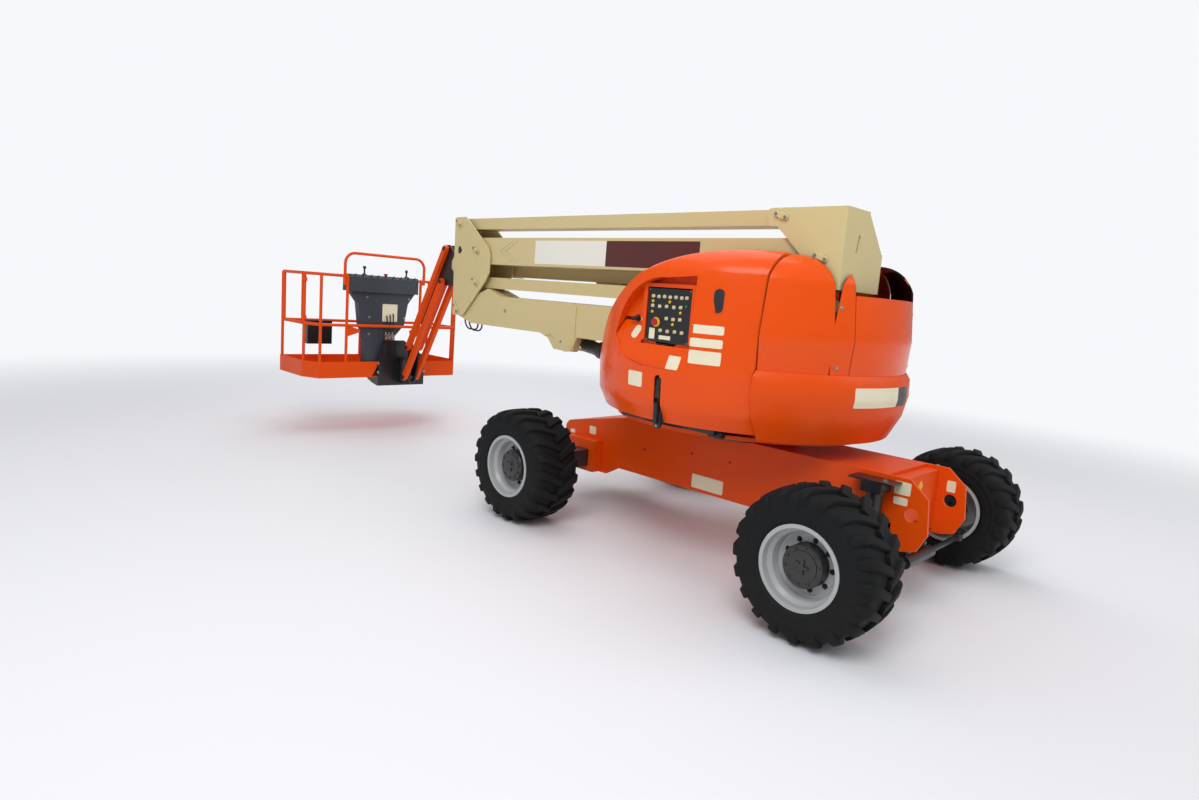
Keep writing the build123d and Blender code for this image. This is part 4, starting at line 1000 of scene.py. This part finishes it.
# wiper housing and boot on the end of the tower cylinder's barrel, a hollow collar round its rod
boot = {
    "foot": (-200, 1130),
    "clevis": (-1333, 1281),
    "y": -360,
    # radius, along from the foot
    "section": ((37.5, 852), (66, 852), (66, 905), (58, 912), (52, 925), (52, 1070), (46, 1082),
                (37.5, 1082)),
}
foot, clevis = (at(x, boot["y"], z) for x, z in (boot["foot"], boot["clevis"]))
along = (clevis - foot).normalized()
side, up = frameAlong(along)


def roundCylinder(angle, point):
    radius, out = point
    return foot + (along * out + (side * cos(angle) + up * sin(angle)) * radius) * mm


mesh = bmesh.new()
addRevolved(mesh, boot["section"], 36, roundCylinder)
makePiece("towerCylinderBoot", mesh, blackEnamel, "tower_cylinder_barrel")
print("booms dressed")

chassisDressing = {
    # x, z, width, depth, y that the label's rays start from
    "labels": ((-30, 436, 264, 96, -340), (-1177, 604, 72, 62, -340), (-1405, 558, 50, 30, -340),
               (1295, 731, 92, 74, -340), (1292, 657, 80, 44, -340), (1360, 680, 52, 70, 0)),
    "diamond": ((0, 697, 1400, 45), 56),  # y, z, x that its rays start from, tilt; then its side
    "holes": ((-183, 622), (139, 628), (-620, 560), (620, 560)),
    "side": -298,
    "capBolts": ((1228, -387, 766), (1228, 387, 766)),
}
mesh = bmesh.new()
for x, z, width, height, start in chassisDressing["labels"]:
    addSticker(mesh, "chassis_frame", nearSide(x, z, start), width, height, 5)
makePiece("chassisLabels", mesh, creamVinyl, "chassis", 60)
mesh = bmesh.new()
place, width = chassisDressing["diamond"]
addSticker(mesh, "chassis_frame", facingAft(*place), width, width, 4)
makePiece("chassisDiamond", mesh, yellowVinyl, "chassis", 60)
# the holes drawn as thin black discs: painted shade in the holes
mesh = bmesh.new()
for x, z in chassisDressing["holes"]:
    addTurned(mesh, at(x, chassisDressing["side"], z), (0, -1, 0), [(9, -1), (9, 0.6), (8.4, 0.9)], 20)
makePiece("chassisHoleShade", mesh, blackVinylAndHoleShade, "chassis")
mesh = bmesh.new()
for place in chassisDressing["capBolts"]:
    addBolt(mesh, at(*place), (0, 0, 1), 12)
makePiece("lockCapBolts", mesh, zincSteel, "chassis")
print("chassis dressed")

console = {
    "toggles": (-690, -600, -510, -430, -340, -250, -160, -70, 10),
    "toggleRow": (-4467, 1679),
    "slope": (0.78, 0, 0.62),   # the way the toggles' face looks
    "top": (-4520, 1690),       # x and z of the sticks and the stop button
    # y, then (radius, up) of a joystick with its gaiter
    "sticks": ((-560, ((26, -1), (24, 6), (14, 12), (9, 20), (9, 60), (15, 66), (17, 82), (12, 92), (4, 94))),
               (-60, ((26, -1), (24, 6), (14, 12), (9, 20), (9, 52), (15, 58), (16, 74), (11, 84), (4, 86)))),
    "stopY": -310,
    "stop": ((15, -1), (15, 10), (22, 14), (23, 20), (20, 26), (6, 29)),
    "plate": ((-258, 1296), 180, 190),
    "bolts": ((-530, 1456), (-500, 1244), (-500, 1060), (-30, 1456), (-80, 1244)),
    "legBolts": ((-405, 165), (648, 748)),
    "legFace": -4443,
    "front": -4300,             # x that rays onto the console start from
}
topX, topZ = console["top"]
rowX, rowZ = console["toggleRow"]
slope = Vector(console["slope"])
mesh = bmesh.new()
for y in console["toggles"]:
    spot = at(rowX, y, rowZ)
    addTurned(mesh, spot, slope, [(11, -2), (11, 5), (8, 7)], 20)
    addTurned(mesh, spot, slope, [(3.2, 5), (3.6, 20), (4.6, 26), (3.5, 30)], 12)
for y, profile in console["sticks"]:
    addTurned(mesh, at(topX, y, topZ), (0, 0, 1), profile, 28)
makePiece("consoleControls", mesh, blackPlasticAndHoleShade, "platform")
mesh = bmesh.new()
addTurned(mesh, at(topX, console["stopY"], topZ), (0, 0, 1), console["stop"], 28)
makePiece("consoleStop", mesh, redPlastic, "platform")
mesh = bmesh.new()
(y, z), width, height = console["plate"]
addSticker(mesh, "platform_console", facingAft(y, z, console["front"]), width, height, 6)
makePiece("consolePlate", mesh, creamVinyl, "platform", 60)
mesh = bmesh.new()
for y, z in console["bolts"]:
    hit, normal, _, _ = surfaceOf("platform_console").ray_cast(at(console["front"], y, z), Vector((-1, 0, 0)))
    if hit is not None:
        addBolt(mesh, hit, normal, 9)
for y in console["legBolts"][0]:
    for z in console["legBolts"][1]:
        addBolt(mesh, at(console["legFace"], y, z), (1, 0, 0), 11)
makePiece("consoleBolts", mesh, zincSteel, "platform")

valve = {
    "block": ((-4497, -332, 985), (-4452, -212, 1062)),
    "sections": (-310, -272, -234),  # y of each spool
    "spoolX": -4474,
    "portHeight": 1022,
    "hoseRadius": 6.5,
    "hoseStep": 12,                  # how much higher each hose enters the console than the one before
}
valveFront, _, valveTop = valve["block"][1]
mesh = bmesh.new()
addBox(mesh, *valve["block"], 3)
for y in valve["sections"]:
    addTurned(mesh, at(valve["spoolX"], y, valveTop), (0, 0, 1),
              [(12, -1), (12, 8), (9, 10), (9, 24), (7, 26)], 20)
    addTurned(mesh, at(valveFront, y, valve["portHeight"]), (1, 0, 0), [(10, -1), (10, 6), (7, 8)], 20)
makePiece("platformValve", mesh, zincSteel, "platform")
mesh = bmesh.new()
for k, y in enumerate(valve["sections"]):
    x, rise = valve["spoolX"], valve["hoseStep"] * k
    addTube(mesh, [at(x, y, 1080), at(x, y, 1130), at(x + 4, y + 6, 1190), at(x - 4, y + 10, 1240 + rise),
                   at(x - 18, y + 12, 1262 + rise)], valve["hoseRadius"], 10, 6)
makePiece("platformValveHoses", mesh, hoseRubber, "platform")
print("platform dressed")

bpy.context.scene.view_settings.view_transform = "Standard"
